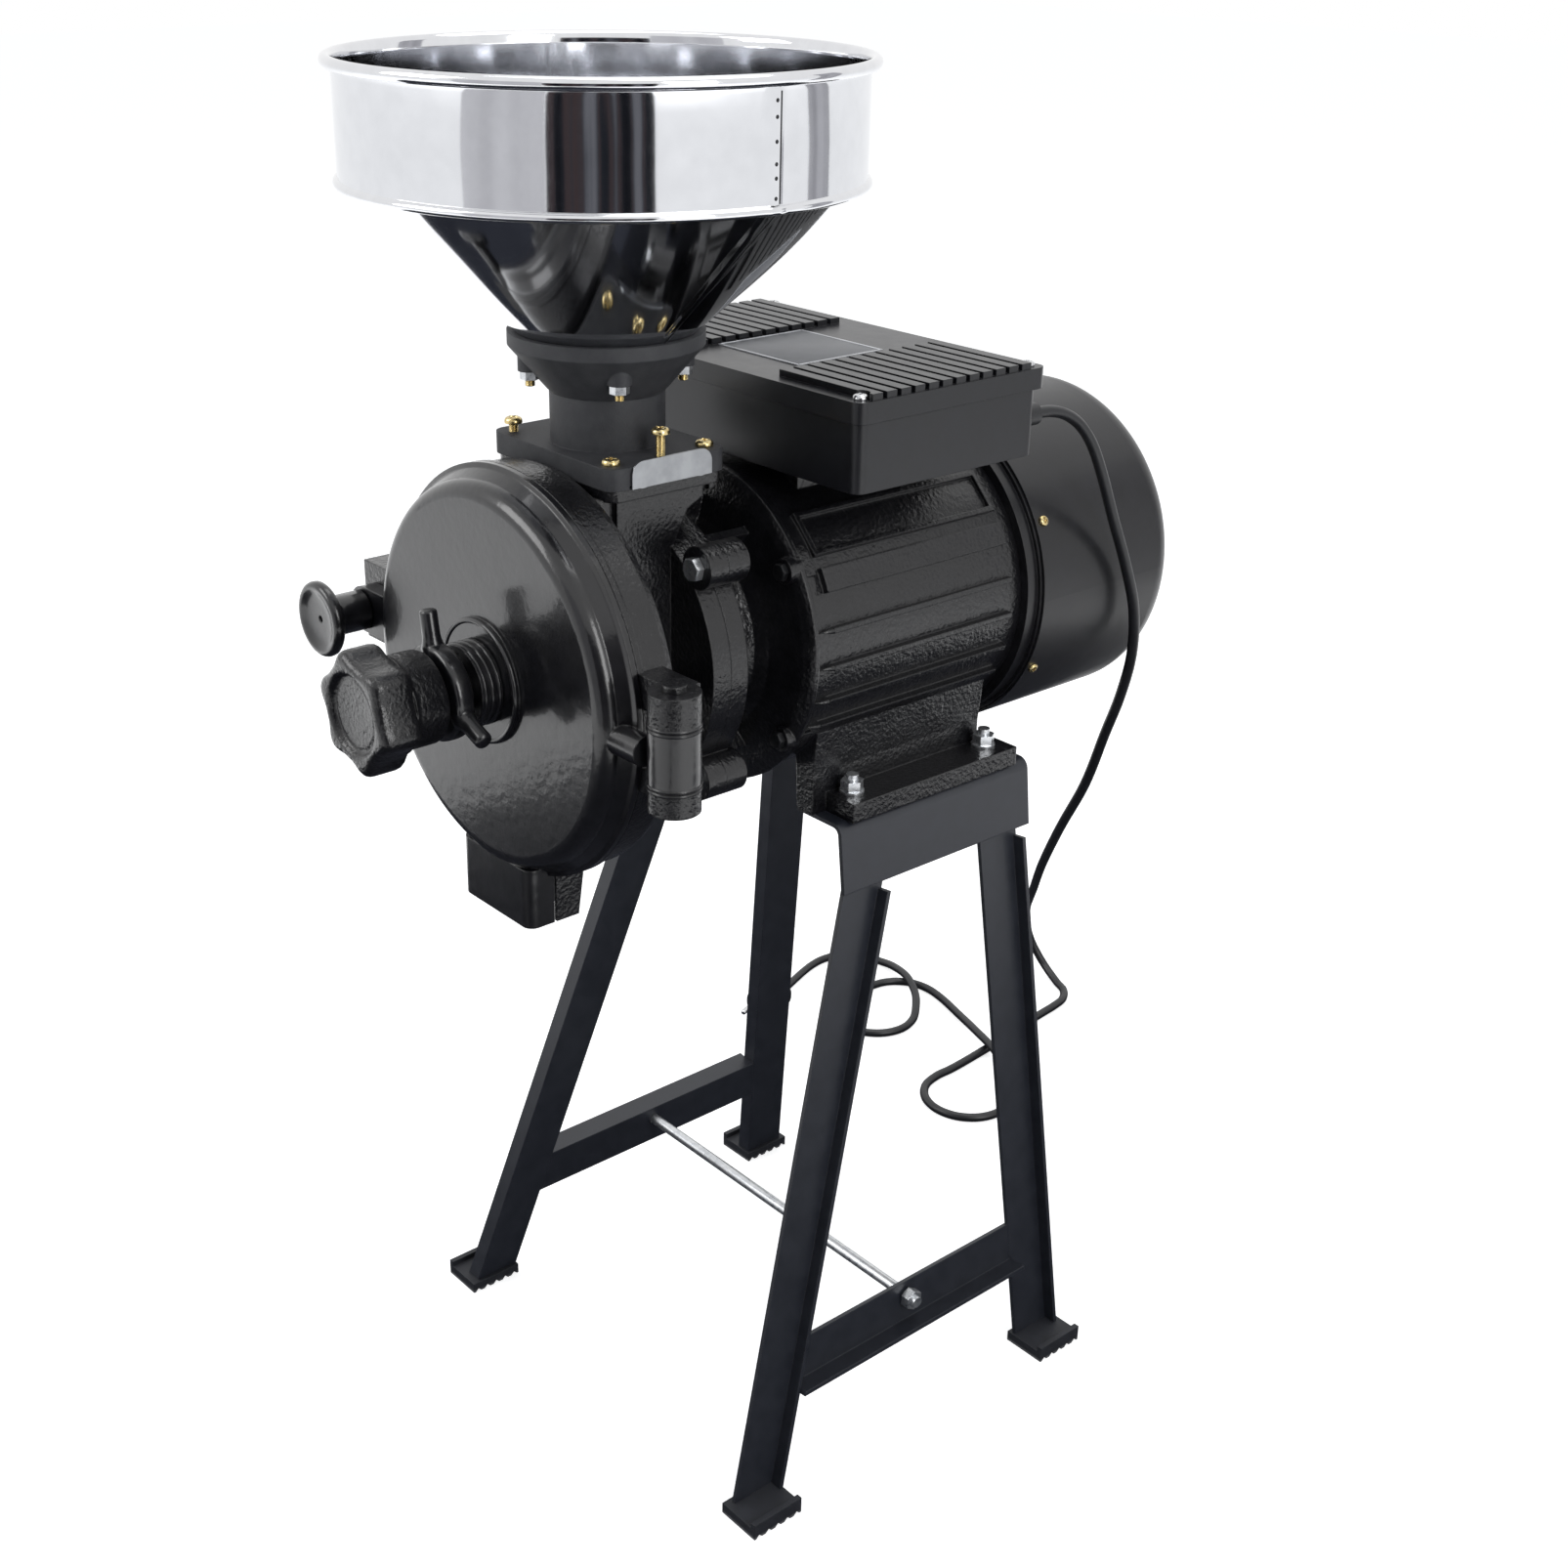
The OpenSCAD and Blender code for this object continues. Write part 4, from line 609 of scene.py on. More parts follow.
@dataclass
class Hopper:
    """Polished sheet hopper: cone, bead, band, rolled rim and lap seam."""

    palette: Palette
    centre: tuple[float, float] = (0.0, -111.0)
    sides: int = 360
    sheet: float = 1.2
    low_z: float = 741.0
    low_r: float = 31.6
    cone_r: float = 144.7
    cone_steps: int = 12
    band_r: float = 147.5
    bead_z: float = 844.0
    bead_roll: float = 2.5
    bead_turns: tuple[float, float] = (-80.0, 80.0)
    bead_rise: float = 0.4
    wall_rows: tuple[float, float] = (30.0, 6.0)
    rim_z: float = 908.0
    rim_roll: float = 3.5
    rim_r: float = 150.0
    rim_turns: tuple[float, float] = (-120.0, 170.0)
    inner_ends: tuple[float, float] = (4.0, 1.0)
    lap: float = 0.8
    lap_turn: float = 4.0
    lap_end: float = 5.0
    line_w: float = 0.8
    line_depth: float = 0.8
    line_proud: float = 0.12
    line_y: float = 0.3
    line_ends: tuple[float, float] = (3.2, 5.5)
    line_start: int = 2
    spot_r: float = 1.1
    spot_turn: float = -0.9
    spot_dome: tuple[tuple[float, float], ...] = ((0.0, 0.4), (0.6, 0.34), (1.0, 0.0), (0.0, -0.4))
    spot_gaps: tuple[float, ...] = (6, 16, 23, 34, 46, 54)

    def cone(self) -> list:
        """Points up the cone's outside."""
        steps, wide = self.cone_steps, self.cone_r - self.low_r
        high = self.bead_z - self.bead_roll - self.low_z
        return [(self.low_r + wide * k / steps, self.low_z + high * k / steps) for k in range(steps + 1)]

    def profile(self) -> list:
        """Section of the sheet, from the throat up the outside and down the inside.

        Returns:
            Radius and height, point by point.
        """
        up, inner_r = self.cone(), self.band_r - self.sheet
        bead = rounded((self.band_r, self.bead_z), self.bead_roll, *self.bead_turns, 6)
        wall = [(self.band_r, self.bead_z + self.bead_roll + self.bead_rise),
                (self.band_r, self.bead_z + self.wall_rows[0]), (self.band_r, self.rim_z - self.wall_rows[1])]
        roll = rounded((self.rim_r, self.rim_z), self.rim_roll, *self.rim_turns, 16)
        inner = [(inner_r, self.rim_z - self.inner_ends[0]), (inner_r, self.bead_z + self.inner_ends[1])]
        down = [(r - self.sheet, z + self.bead_rise) for r, z in up[-2::-1]]
        return up + bead + wall + roll + inner + down

    def seam(self, angle: float, radius: float, height: float) -> float:
        """Extra radius where the sheet laps over itself.

        Args:
            angle: angle around the axis.
            radius: radius of the point.
            height: its height.

        Returns:
            The lap's step in millimetres.
        """
        if height > self.rim_z - self.lap_end and radius > self.band_r:
            return 0.0
        turn = (math.degrees(angle) + 180) % 360 - 180
        return self.lap if -self.lap_turn < turn <= 0.01 else 0.0

    def spots(self) -> None:
        """Makes the spot marks along the seam."""
        marks = Shape("hopper_spots")
        turn, reach = math.radians(self.spot_turn), self.band_r + self.lap
        dome = [(self.spot_r * share, out) for share, out in self.spot_dome]
        x, y = self.centre[0] + reach * math.cos(turn), self.centre[1] + reach * math.sin(turn)
        for gap in self.spot_gaps:
            since = marks.mark()
            marks.lathe(dome, steps=12, axis=Axis.X)
            marks.move(Matrix.Translation((x, y, self.bead_z + gap)), since)
        marks.place(self.palette.get("black_steel"), "machine", "stainless")

    def seam_shade_strip(self, radius: float, height: float) -> list[Point]:
        """Section of the dark strip at the sheet's lapped edge: painted shade along the lap's step."""
        x, y, half = self.centre[0] + radius, self.centre[1] + self.line_y, self.line_w / 2
        back, front = x - self.line_depth, x + self.line_proud
        return [(back, y - half, height), (front, y - half, height), (front, y + half, height),
                (back, y + half, height)]

    def build(self) -> None:
        """Makes the sheet, its spot marks and a dark strip of painted shade along the lap's step."""
        sheet = Shape("hopper_sheet").lathe(self.profile(), self.centre, Axis.Z, self.sides, self.seam)
        sheet.place(self.palette.get("polished_stainless"), "machine", "stainless", "hopper", smooth=28)
        self.spots()
        # dark strip on the lap's step edge: painted shade where the top sheet steps down onto the one beneath
        line, outer = Shape("hopper_seam"), self.band_r + self.lap
        band = [(outer, self.bead_z + self.line_ends[0]), (outer, self.rim_z - self.line_ends[1])]
        cone = [(r + self.lap, z) for r, z in self.cone()[self.line_start :]]
        for run in (cone, band):
            line.skin([self.seam_shade_strip(r, z) for r, z in run], closed=False)
        line.place(self.palette.get("black_steel"), "machine", "stainless")


@dataclass
class Thread:
    """A screw thread on a rod or a sleeve, along the mill's axis."""

    name: str
    finish: str
    body: str
    slot: str
    low_y: float
    high_y: float
    crest: float
    depth: float
    pitch: float
    bore: float = 0.0
    nodes: tuple[str, ...] = ()
    axis_z: float = 565.0
    rows: int = 8
    sides: int = 72
    flank: float = 2.6
    flat: float = 0.15

    def ridge(self, angle: float, radius: float, place: float) -> float:
        """Depth of the thread's groove.

        Args:
            angle: angle around the rod.
            radius: radius of the point.
            place: its place along the rod.

        Returns:
            What the groove takes off the radius, in millimetres.
        """
        if radius < self.crest:
            return 0.0
        phase = (place / self.pitch + angle / (2 * math.pi)) % 1
        return -self.depth * min(1.0, max(0.0, self.flank * abs(phase - 0.5) - self.flat))

    def build(self, palette: Palette) -> None:
        """Makes the threaded piece.

        Args:
            palette: the mill's finishes.
        """
        length = self.high_y - self.low_y
        count = int(length / (self.pitch / self.rows))
        places = [self.low_y + length * i / count for i in range(count + 1)]
        profile = [(self.bore, places[0])] + [(self.crest, y) for y in places] + [(self.bore, places[-1])]
        shape = Shape(self.name).lathe(profile, (0, self.axis_z), Axis.Y, self.sides, self.ridge)
        shape.place(palette.get(self.finish), self.body, self.slot, *self.nodes, smooth=60)


@dataclass
class HandWheel:
    """Cast hand wheel with soft lobes, a dished face and a hub.

    A size above zero in its tables is a radius, one of zero or less is an inset of the lobed rim, and
    None is the middle.
    """

    palette: Palette
    axis_z: float = 565.0
    front_y: float = -294.0
    rim_back_y: float = -268.0
    hub_back_y: float = -244.0
    lobe_r: float = 37.0
    waist_r: float = 31.5
    lobes: int = 6
    lobe_turn: float = 14.0
    lobe_power: float = 1.6
    sides: int = 144
    face: tuple[tuple[float | None, float], ...] = (
        (None, 3.4), (18.0, 3.4), (19.5, 3.2), (21.0, 3.8), (22.6, 3.6), (23.4, 2.4), (24.2, 0.9),
        (25.6, 0.2), (-5.0, 0.0), (-3.0, 0.6), (-1.2, 2.0), (-0.3, 4.0), (0.0, 7.0))
    rim_back: tuple[tuple[float, float], ...] = ((0.0, -6.0), (-0.6, -3.0), (-2.0, -1.0), (-4.2, 0.0))
    hub_r: float = 28.0
    hub_front: tuple[tuple[float, float], ...] = ((1.6, 0.4), (0.4, 1.6), (0.0, 4.0))
    hub_back: tuple[tuple[float, float], ...] = ((0.0, -4.0), (-0.8, -1.6), (-2.6, -0.3), (-4.0, 0.0))
    bore_r: float = 10.05
    bore_end: float = 5.2

    def radius(self, size: float | None, angle: float) -> float:
        """Radius of one level.

        Args:
            size: its radius, its inset in the lobed rim, or None.
            angle: angle around the wheel.

        Returns:
            The radius in millimetres.
        """
        if size is None:
            return 0.0
        if size > 0:
            return size
        wave = 0.5 + 0.5 * math.cos(self.lobes * (angle + math.radians(self.lobe_turn)))
        return self.waist_r + (self.lobe_r - self.waist_r) * wave**self.lobe_power + size

    def build(self) -> None:
        """Makes the wheel."""
        end = self.front_y + self.bore_end
        levels = [(size, self.front_y + step) for size, step in self.face]
        levels += [(size, self.rim_back_y + step) for size, step in self.rim_back]
        levels += [(self.hub_r + size, self.rim_back_y + step) for size, step in self.hub_front]
        levels += [(self.hub_r + size, self.hub_back_y + step) for size, step in self.hub_back]
        levels += [(self.bore_r, self.hub_back_y), (self.bore_r, end), (None, end)]
        rings = [[(u, y, self.axis_z + v) for u, v in circle(lambda t: self.radius(size, t), self.sides)]
                 for size, y in levels]
        shape = Shape("hand_wheel_cast").skin(rings)
        shape.place(self.palette.get("rough_black_paint"), "wheel", "head_paint", "hand_wheel", smooth=60)


@dataclass
class LockRing:
    """Ring with three short arms behind the wheel."""

    palette: Palette
    axis_z: float = 565.0
    front_y: float = -241.0
    back_y: float = -229.0
    outer_r: float = 29.0
    bore_r: float = 10.05
    edge: tuple[tuple[float, float], ...] = ((3.0, 0.0), (1.2, 0.6), (0.3, 1.6), (0.0, 3.5))
    arm_r: float = 5.3
    arm_l: float = 49.0
    arm_start: float = 20.0
    arm_root: tuple[tuple[float, float], ...] = ((1.6, -2.0), (0.4, 2.0), (0.0, 5.0))
    arm_round: float = 2.2
    arm_turns: tuple[float, ...] = (-10.0, 110.0, 230.0)

    def build(self) -> None:
        """Makes the ring and its arms."""
        r, y0, y1 = self.outer_r, self.front_y, self.back_y
        profile = [(self.bore_r, y0)] + [(r - inset, y0 + step) for inset, step in self.edge]
        profile += [(r - inset, y1 - step) for inset, step in self.edge[::-1]] + [(self.bore_r, y1)]
        shape = Shape("lock_ring_cast").lathe(profile, (0, self.axis_z), Axis.Y)
        a, end, soft = self.arm_r, self.arm_l, self.arm_round
        arm = [(0, self.arm_start), (a, self.arm_start)]
        arm += [(a + wide, r + step) for wide, step in self.arm_root]
        arm += rounded((a - soft, end - soft), soft, 0, 90, 4) + [(0, end)]
        middle = Matrix.Translation((0, (y0 + y1) / 2, self.axis_z))
        for turn in self.arm_turns:
            since = shape.mark()
            shape.lathe(arm, axis=Axis.Z, steps=28)
            shape.move(middle @ Matrix.Rotation(math.radians(turn), 4, "Y"), since)
        shape.place(self.palette.get("gloss_black_paint"), "lock", "head_paint", "lock_ring", smooth=50)


@dataclass
class LatchKnob:
    """Dished knob on its stud, at the cover's left."""

    palette: Palette
    place_x: float = -152.0
    axis_z: float = 565.0
    face_y: float = -229.0
    face: tuple[tuple[float, float], ...] = (
        (2.0, 9.0), (2.0, 3.6), (2.4, 3.1), (8.0, 3.0), (13.0, 2.6), (17.0, 1.6), (19.5, 0.4), (21.0, 0.0),
        (22.6, 0.3))
    disc_r: float = 24.5
    disc_y: float = -221.0
    rim_front: tuple[tuple[float, float], ...] = ((-0.7, 1.4), (0.0, 3.2))
    rim_back: tuple[tuple[float, float], ...] = ((-0.2, -2.2), (-1.6, -0.6), (-4.0, 0.6))
    hub_r: float = 13.0
    hub_front: tuple[tuple[float, float], ...] = ((3.0, 1.6), (0.8, 3.6), (0.0, 6.0))
    ear_y: float = -195.0
    stud_r: float = 6.0
    tip_y: float = -172.0
    edge: float = 1.0

    def build(self) -> None:
        """Makes the knob and its stud."""
        middle = (self.place_x, self.axis_z)
        knob = [(r, self.face_y + step) for r, step in self.face]
        knob += [(self.disc_r + wide, self.face_y + step) for wide, step in self.rim_front]
        knob += [(self.disc_r + wide, self.disc_y + step) for wide, step in self.rim_back]
        knob += [(self.hub_r + wide, self.disc_y + step) for wide, step in self.hub_front]
        knob += [(self.hub_r, self.ear_y - self.edge), (self.hub_r - self.edge, self.ear_y),
                 (self.face[0][0], self.ear_y)]
        shape = Shape("latch_knob_cast").lathe(knob, middle, Axis.Y, 96)
        shape.place(self.palette.get("gloss_black_paint"), "latch", "head_paint", "latch_knob", smooth=50)
        start = self.face_y + self.face[0][1]
        stud = [(0, start), (self.stud_r, start), (self.stud_r, self.tip_y - self.edge),
                (self.stud_r - self.edge, self.tip_y), (0, self.tip_y)]
        rod = Shape("latch_stud").lathe(stud, middle, Axis.Y, 40)
        rod.place(self.palette.get("zinc_plate"), "latch", "head_paint", smooth=40)


@dataclass
class Plug:
    """Moulded two-pin plug that lies at the cord's end."""

    palette: Palette
    end: Point = (0.0, 0.0, 0.0)
    way: Point = (1.0, 0.0, 0.0)
    relief_l: float = 16.0
    tuck: float = 0.5
    relief_r: float = 3.9
    groove_r: float = 3.4
    groove_pitch: float = 3.0
    grooves: int = 5
    groove_rows: tuple[float, ...] = (0.2, 0.8, 1.9, 2.4)
    body_l: float = 34.0
    form: tuple[tuple[float, float], ...] = (
        (6.0, 0.0), (3.2, 1.0), (1.2, 3.0), (0.2, 6.0), (0.0, 9.0), (1.0, 13.0), (1.5, 17.0), (1.0, 21.0),
        (0.0, 25.0))
    nose: tuple[tuple[float, float], ...] = ((0.0, -3.0), (0.5, -1.4), (1.6, -0.4), (2.6, 0.0))
    half_w: float = 17.0
    half_h: float = 10.0
    powers: tuple[float, float] = (0.55, 0.6)
    sides: int = 56
    middle_z: float = 6.0
    pin_gap: float = 19.0
    pin_z: float = 4.0
    pin_r: float = 2.4
    pin_l: float = 19.0
    pin_round: float = 1.6
    pin_root: float = 2.0

    def section(self, inset: float, along: float) -> list[Point]:
        """Soft-cornered section of the body."""
        ring = []
        for i in range(self.sides):
            t = 2 * math.pi * i / self.sides
            c, k = math.cos(t), math.sin(t)
            y = math.copysign(abs(c) ** self.powers[0], c) * (self.half_w - inset)
            z = math.copysign(abs(k) ** self.powers[1], k) * (self.half_h - inset)
            ring.append((along, y, self.middle_z + z))
        return ring

    def relief(self) -> list:
        """Section of the grooved sleeve behind the body."""
        radii = (self.groove_r, self.relief_r, self.relief_r, self.groove_r)
        turned = [(0, self.groove_rows[0])]
        for i in range(self.grooves):
            turned += [(r, row + self.groove_pitch * i) for r, row in zip(radii, self.groove_rows)]
        return turned + [(self.relief_r, self.relief_l + 1), (0, self.relief_l + 1)]

    def build(self) -> bpy.types.Object:
        """Makes the plug.

        Returns:
            Its moulded body.
        """
        turn = math.atan2(self.way[1], self.way[0])
        lie = Matrix.Translation(self.end) @ Matrix.Rotation(turn, 4, "Z")
        start, end = self.relief_l - self.tuck, self.relief_l + self.body_l
        levels = [(inset, start + step) for inset, step in self.form]
        levels += [(inset, end + step) for inset, step in self.nose]
        body = Shape("plug_body").lathe(self.relief(), axis=Axis.X, steps=40)
        body.skin([self.section(inset, x) for inset, x in levels], closed=False).move(lie)
        made = body.place(self.palette.get("cord_jacket"), "machine", "cord", "power_plug", smooth=50)
        pins, tip, soft = Shape("plug_pins"), end + self.pin_l, self.pin_round
        pin = [(0, end - self.pin_root), (self.pin_r, end - self.pin_root)]
        pin += rounded((self.pin_r - soft, tip - soft), soft, 0, 90, 4) + [(0, tip)]
        for side in (-1, 1):
            since = pins.mark()
            pins.lathe(pin, axis=Axis.X, steps=28)
            pins.move(Matrix.Translation((0, side * self.pin_gap / 2, self.pin_z)), since)
        pins.move(lie)
        pins.place(self.palette.get("bright_plate"), "machine", "chrome_screws", smooth=50)
        return made


@dataclass
class CastBeads:
    """Round beads on the cover's stem and hinge, where its castings meet."""

    palette: Palette
    axis_z: float = 565.0
    stem_r: float = 24.7
    stem_bead: float = 1.3
    stem_ys: tuple[float, ...] = (-219.4, -214.6, -209.8)
    border_r: float = 36.4
    border_bead: float = 1.8
    border_y: float = -207.2
    hinge: tuple[float, float] = (152.5, -183.0)
    knuckle_r: float = 14.6
    knuckle_bead: float = 1.0
    cover_zs: tuple[float, float] = (546.2, 578.8)
    housing_zs: tuple[float, float] = (543.7, 581.3)

    def knuckles(self, shape: Shape, heights: tuple[float, float]) -> Shape:
        """Adds the beads of one casting's hinge.

        Args:
            shape: the shape that takes them.
            heights: where they are on the hinge.

        Returns:
            The shape.
        """
        for z in heights:
            shape.lathe(rounded((self.knuckle_r, z), self.knuckle_bead, 0, 330, 11), self.hinge, Axis.Z)
        return shape

    def build(self) -> None:
        """Makes the beads of the cover and of the housing."""
        paint, middle = self.palette.get("gloss_black_paint"), (0, self.axis_z)
        cover = Shape("cover_beads")
        for y in self.stem_ys:
            cover.lathe(rounded((self.stem_r, y), self.stem_bead, 0, 330, 11), middle, Axis.Y)
        cover.lathe(rounded((self.border_r, self.border_y), self.border_bead, 0, 330, 11), middle, Axis.Y)
        self.knuckles(cover, self.cover_zs).place(paint, "cover", "head_paint", smooth=70)
        housing = self.knuckles(Shape("housing_beads"), self.housing_zs)
        housing.place(paint, "machine", "head_paint", smooth=70)


@dataclass
class FinTips:
    """Pointed front ends of the fins cast on the motor's sides."""

    palette: Palette
    axis_z: float = 565.0
    body_r: float = 101.0
    root: float = 1.5
    rise: float = 4.5
    width: float = 3.4
    crown: tuple[float, float] = (0.5, 0.4)
    start_y: float = -20.5
    overlap: float = 0.6
    reach: float = 9.5
    spans: int = 6
    least: float = 0.08
    taper: float = 1.4
    droop: float = 0.75
    turns: tuple[float, ...] = (10.0, -3.0, -16.0, -27.0)

    def section(self, part: float) -> list[Point]:
        """Section of a tip.

        Args:
            part: how far it is from the fin to the point, from zero to one.

        Returns:
            Its points in order.
        """
        half = self.width / 2 * max(self.least, 1 - part**self.taper)
        low, top = self.body_r - self.root, self.body_r + self.rise * (1 - self.droop * part**2)
        side, flat = top - half * self.crown[0], half * self.crown[1]
        y = self.start_y + self.overlap - (self.reach + self.overlap) * part
        points = ((low, -half), (side, -half), (top, -flat), (top, flat), (side, half), (low, half))
        return [(x, y, z) for x, z in points]

    def build(self) -> None:
        """Makes the tips on both sides."""
        shape = Shape("fin_tips")
        rings = [self.section(k / self.spans) for k in range(self.spans + 1)]
        for side in (1, -1):
            flip = Matrix.Translation((0, 0, self.axis_z)) @ Matrix.Scale(side, 4, (1, 0, 0))
            for turn in self.turns:
                since = shape.mark()
                shape.skin(rings, closed=False)
                shape.move(flip @ Matrix.Rotation(math.radians(-turn), 4, "Y"), since)
        shape.place(self.palette.get("rough_black_paint"), "machine", "motor_paint", smooth=40)


@dataclass(frozen=True)
class Head:
    """Head of a screw or bolt that stands on its seat and points up: a pan, or a hexagon if it has flats.

    The tables hold shares of the pan's radius and height.
    """

    radius: float
    height: float
    across: float = 0.0
    sides: int = 48
    arm: float = 0.56
    slot: float = 0.13
    pan: tuple[tuple[float, float], ...] = ((0.99, 0.45), (0.93, 0.68), (0.82, 0.86), (0.7, 0.96))
    recess: tuple[float, float] = (0.99, 0.45)
    recess_floor: float = 0.4
    mouth: tuple[float, float] = (0.08, 0.3)
    recess_narrow: float = 0.86
    chamfers: tuple[float, float] = (0.485, 0.53)
    chamfer_steps: tuple[float, float, float] = (0.9, 0.55, 0.1)

    def cross(self, angle: float) -> float:
        """Radius of the cross recess by angle.

        Args:
            angle: angle around the head.

        Returns:
            The radius in millimetres.
        """
        turn = abs((angle + math.pi / 4) % (math.pi / 2) - math.pi / 4)
        arm, half = self.radius * self.arm, self.radius * self.slot
        return min(arm / math.cos(turn), half / max(math.sin(turn), 1e-3))

    def hexagon_levels(self) -> list:
        """Levels of a hexagon head: radius by angle, and height."""
        flat, h = hexagon(self.across), self.height
        top, shoulder = (self.across * share for share in self.chamfers)
        low, mid, high = self.chamfer_steps
        return [(lambda t: flat(t) - 0.2, 0.0), (flat, 0.2), (flat, h - low),
                (lambda t: min(flat(t), shoulder), h - mid), (lambda t: min(flat(t), top), h - high),
                (lambda t: min(flat(t), top) - 0.4, h)]

    def pan_levels(self) -> list:
        """Levels of a pan head with a cross recess: radius by angle, and height."""
        r, h = self.radius, self.height
        skirt = [(lambda t: r - 0.1, 0.0), (lambda t: r, 0.3)]
        dome = [(lambda t, share=share: r * share, h * up) for share, up in self.pan]
        return skirt + dome + [
            (lambda t: max(self.cross(t) + self.mouth[0], r * self.mouth[1]), h),
            (self.cross, h * self.recess[0]),
            (lambda t: self.cross(t) * self.recess_narrow, h * self.recess[1])]

    def add(self, shape: Shape, where: Matrix, turn: float = 0.0) -> None:
        """Adds the head to a shape.

        Args:
            shape: the shape that takes it.
            where: its place and direction.
            turn: angle in degrees about its own axis.
        """
        since, turn = shape.mark(), math.radians(turn)
        levels = self.hexagon_levels() if self.across else self.pan_levels()
        close = self.height * (1.0 if self.across else self.recess_floor)
        rings = [[(u, v, z) for u, v in circle(size, self.sides, turn)] for size, z in levels]
        low, high = [(0.0, 0.0, 0.0)] * self.sides, [(0.0, 0.0, close)] * self.sides
        shape.skin([low, *rings, high], closed=False).move(where, since)


@dataclass(frozen=True)
class Screws:
    """Screws of one kind: their name, the node that they stand for, head, shank and finish."""

    name: str
    node: str
    head: Head
    shank_r: float
    shank_l: float
    finish: str = "yellow_zinc"
    slot: str = "brassed_screws"
    pitch: float = 0.8
    smooth: float = 35.0
    root: float = 0.84
    overlap: float = 0.2
    sides: int = 20

    def shank(self, shape: Shape, where: Matrix) -> None:
        """Adds a threaded shank.

        Args:
            shape: the shape that takes it.
            where: its place and direction.
        """
        since = shape.mark()
        low, high, root = -self.shank_l, self.overlap, self.shank_r * self.root
        count = max(2, int((high - low) / self.pitch))
        span = (high - low) / count
        profile = [(0, low)]
        for i in range(count):
            profile += [(root, low + i * span), (self.shank_r, low + (i + 0.5) * span)]
        profile += [(root, high), (0, high)]
        shape.lathe(profile, axis=Axis.Z, steps=self.sides).move(where, since)

    def build(self, palette: Palette, seats: list[tuple[Point, Point, float]]) -> None:
        """Makes the screws.

        Args:
            palette: the mill's finishes.
            seats: for each screw its place, the way that it points, and its turn in degrees.
        """
        shape = Shape(self.name)
        for place, way, turn in seats:
            where = facing(place, way)
            self.head.add(shape, where, turn)
            self.shank(shape, where)
        shape.place(palette.get(self.finish), "machine", self.slot, self.node, smooth=self.smooth)


def facing(place: Point, way: Point) -> Matrix:
    """Placing of a part that points along a direction.

    Args:
        place: where it stands.
        way: the direction of its upper end.

    Returns:
        The matrix.
    """
    return Matrix.Translation(place) @ Vector(UP).rotation_difference(Vector(way)).to_matrix().to_4x4()


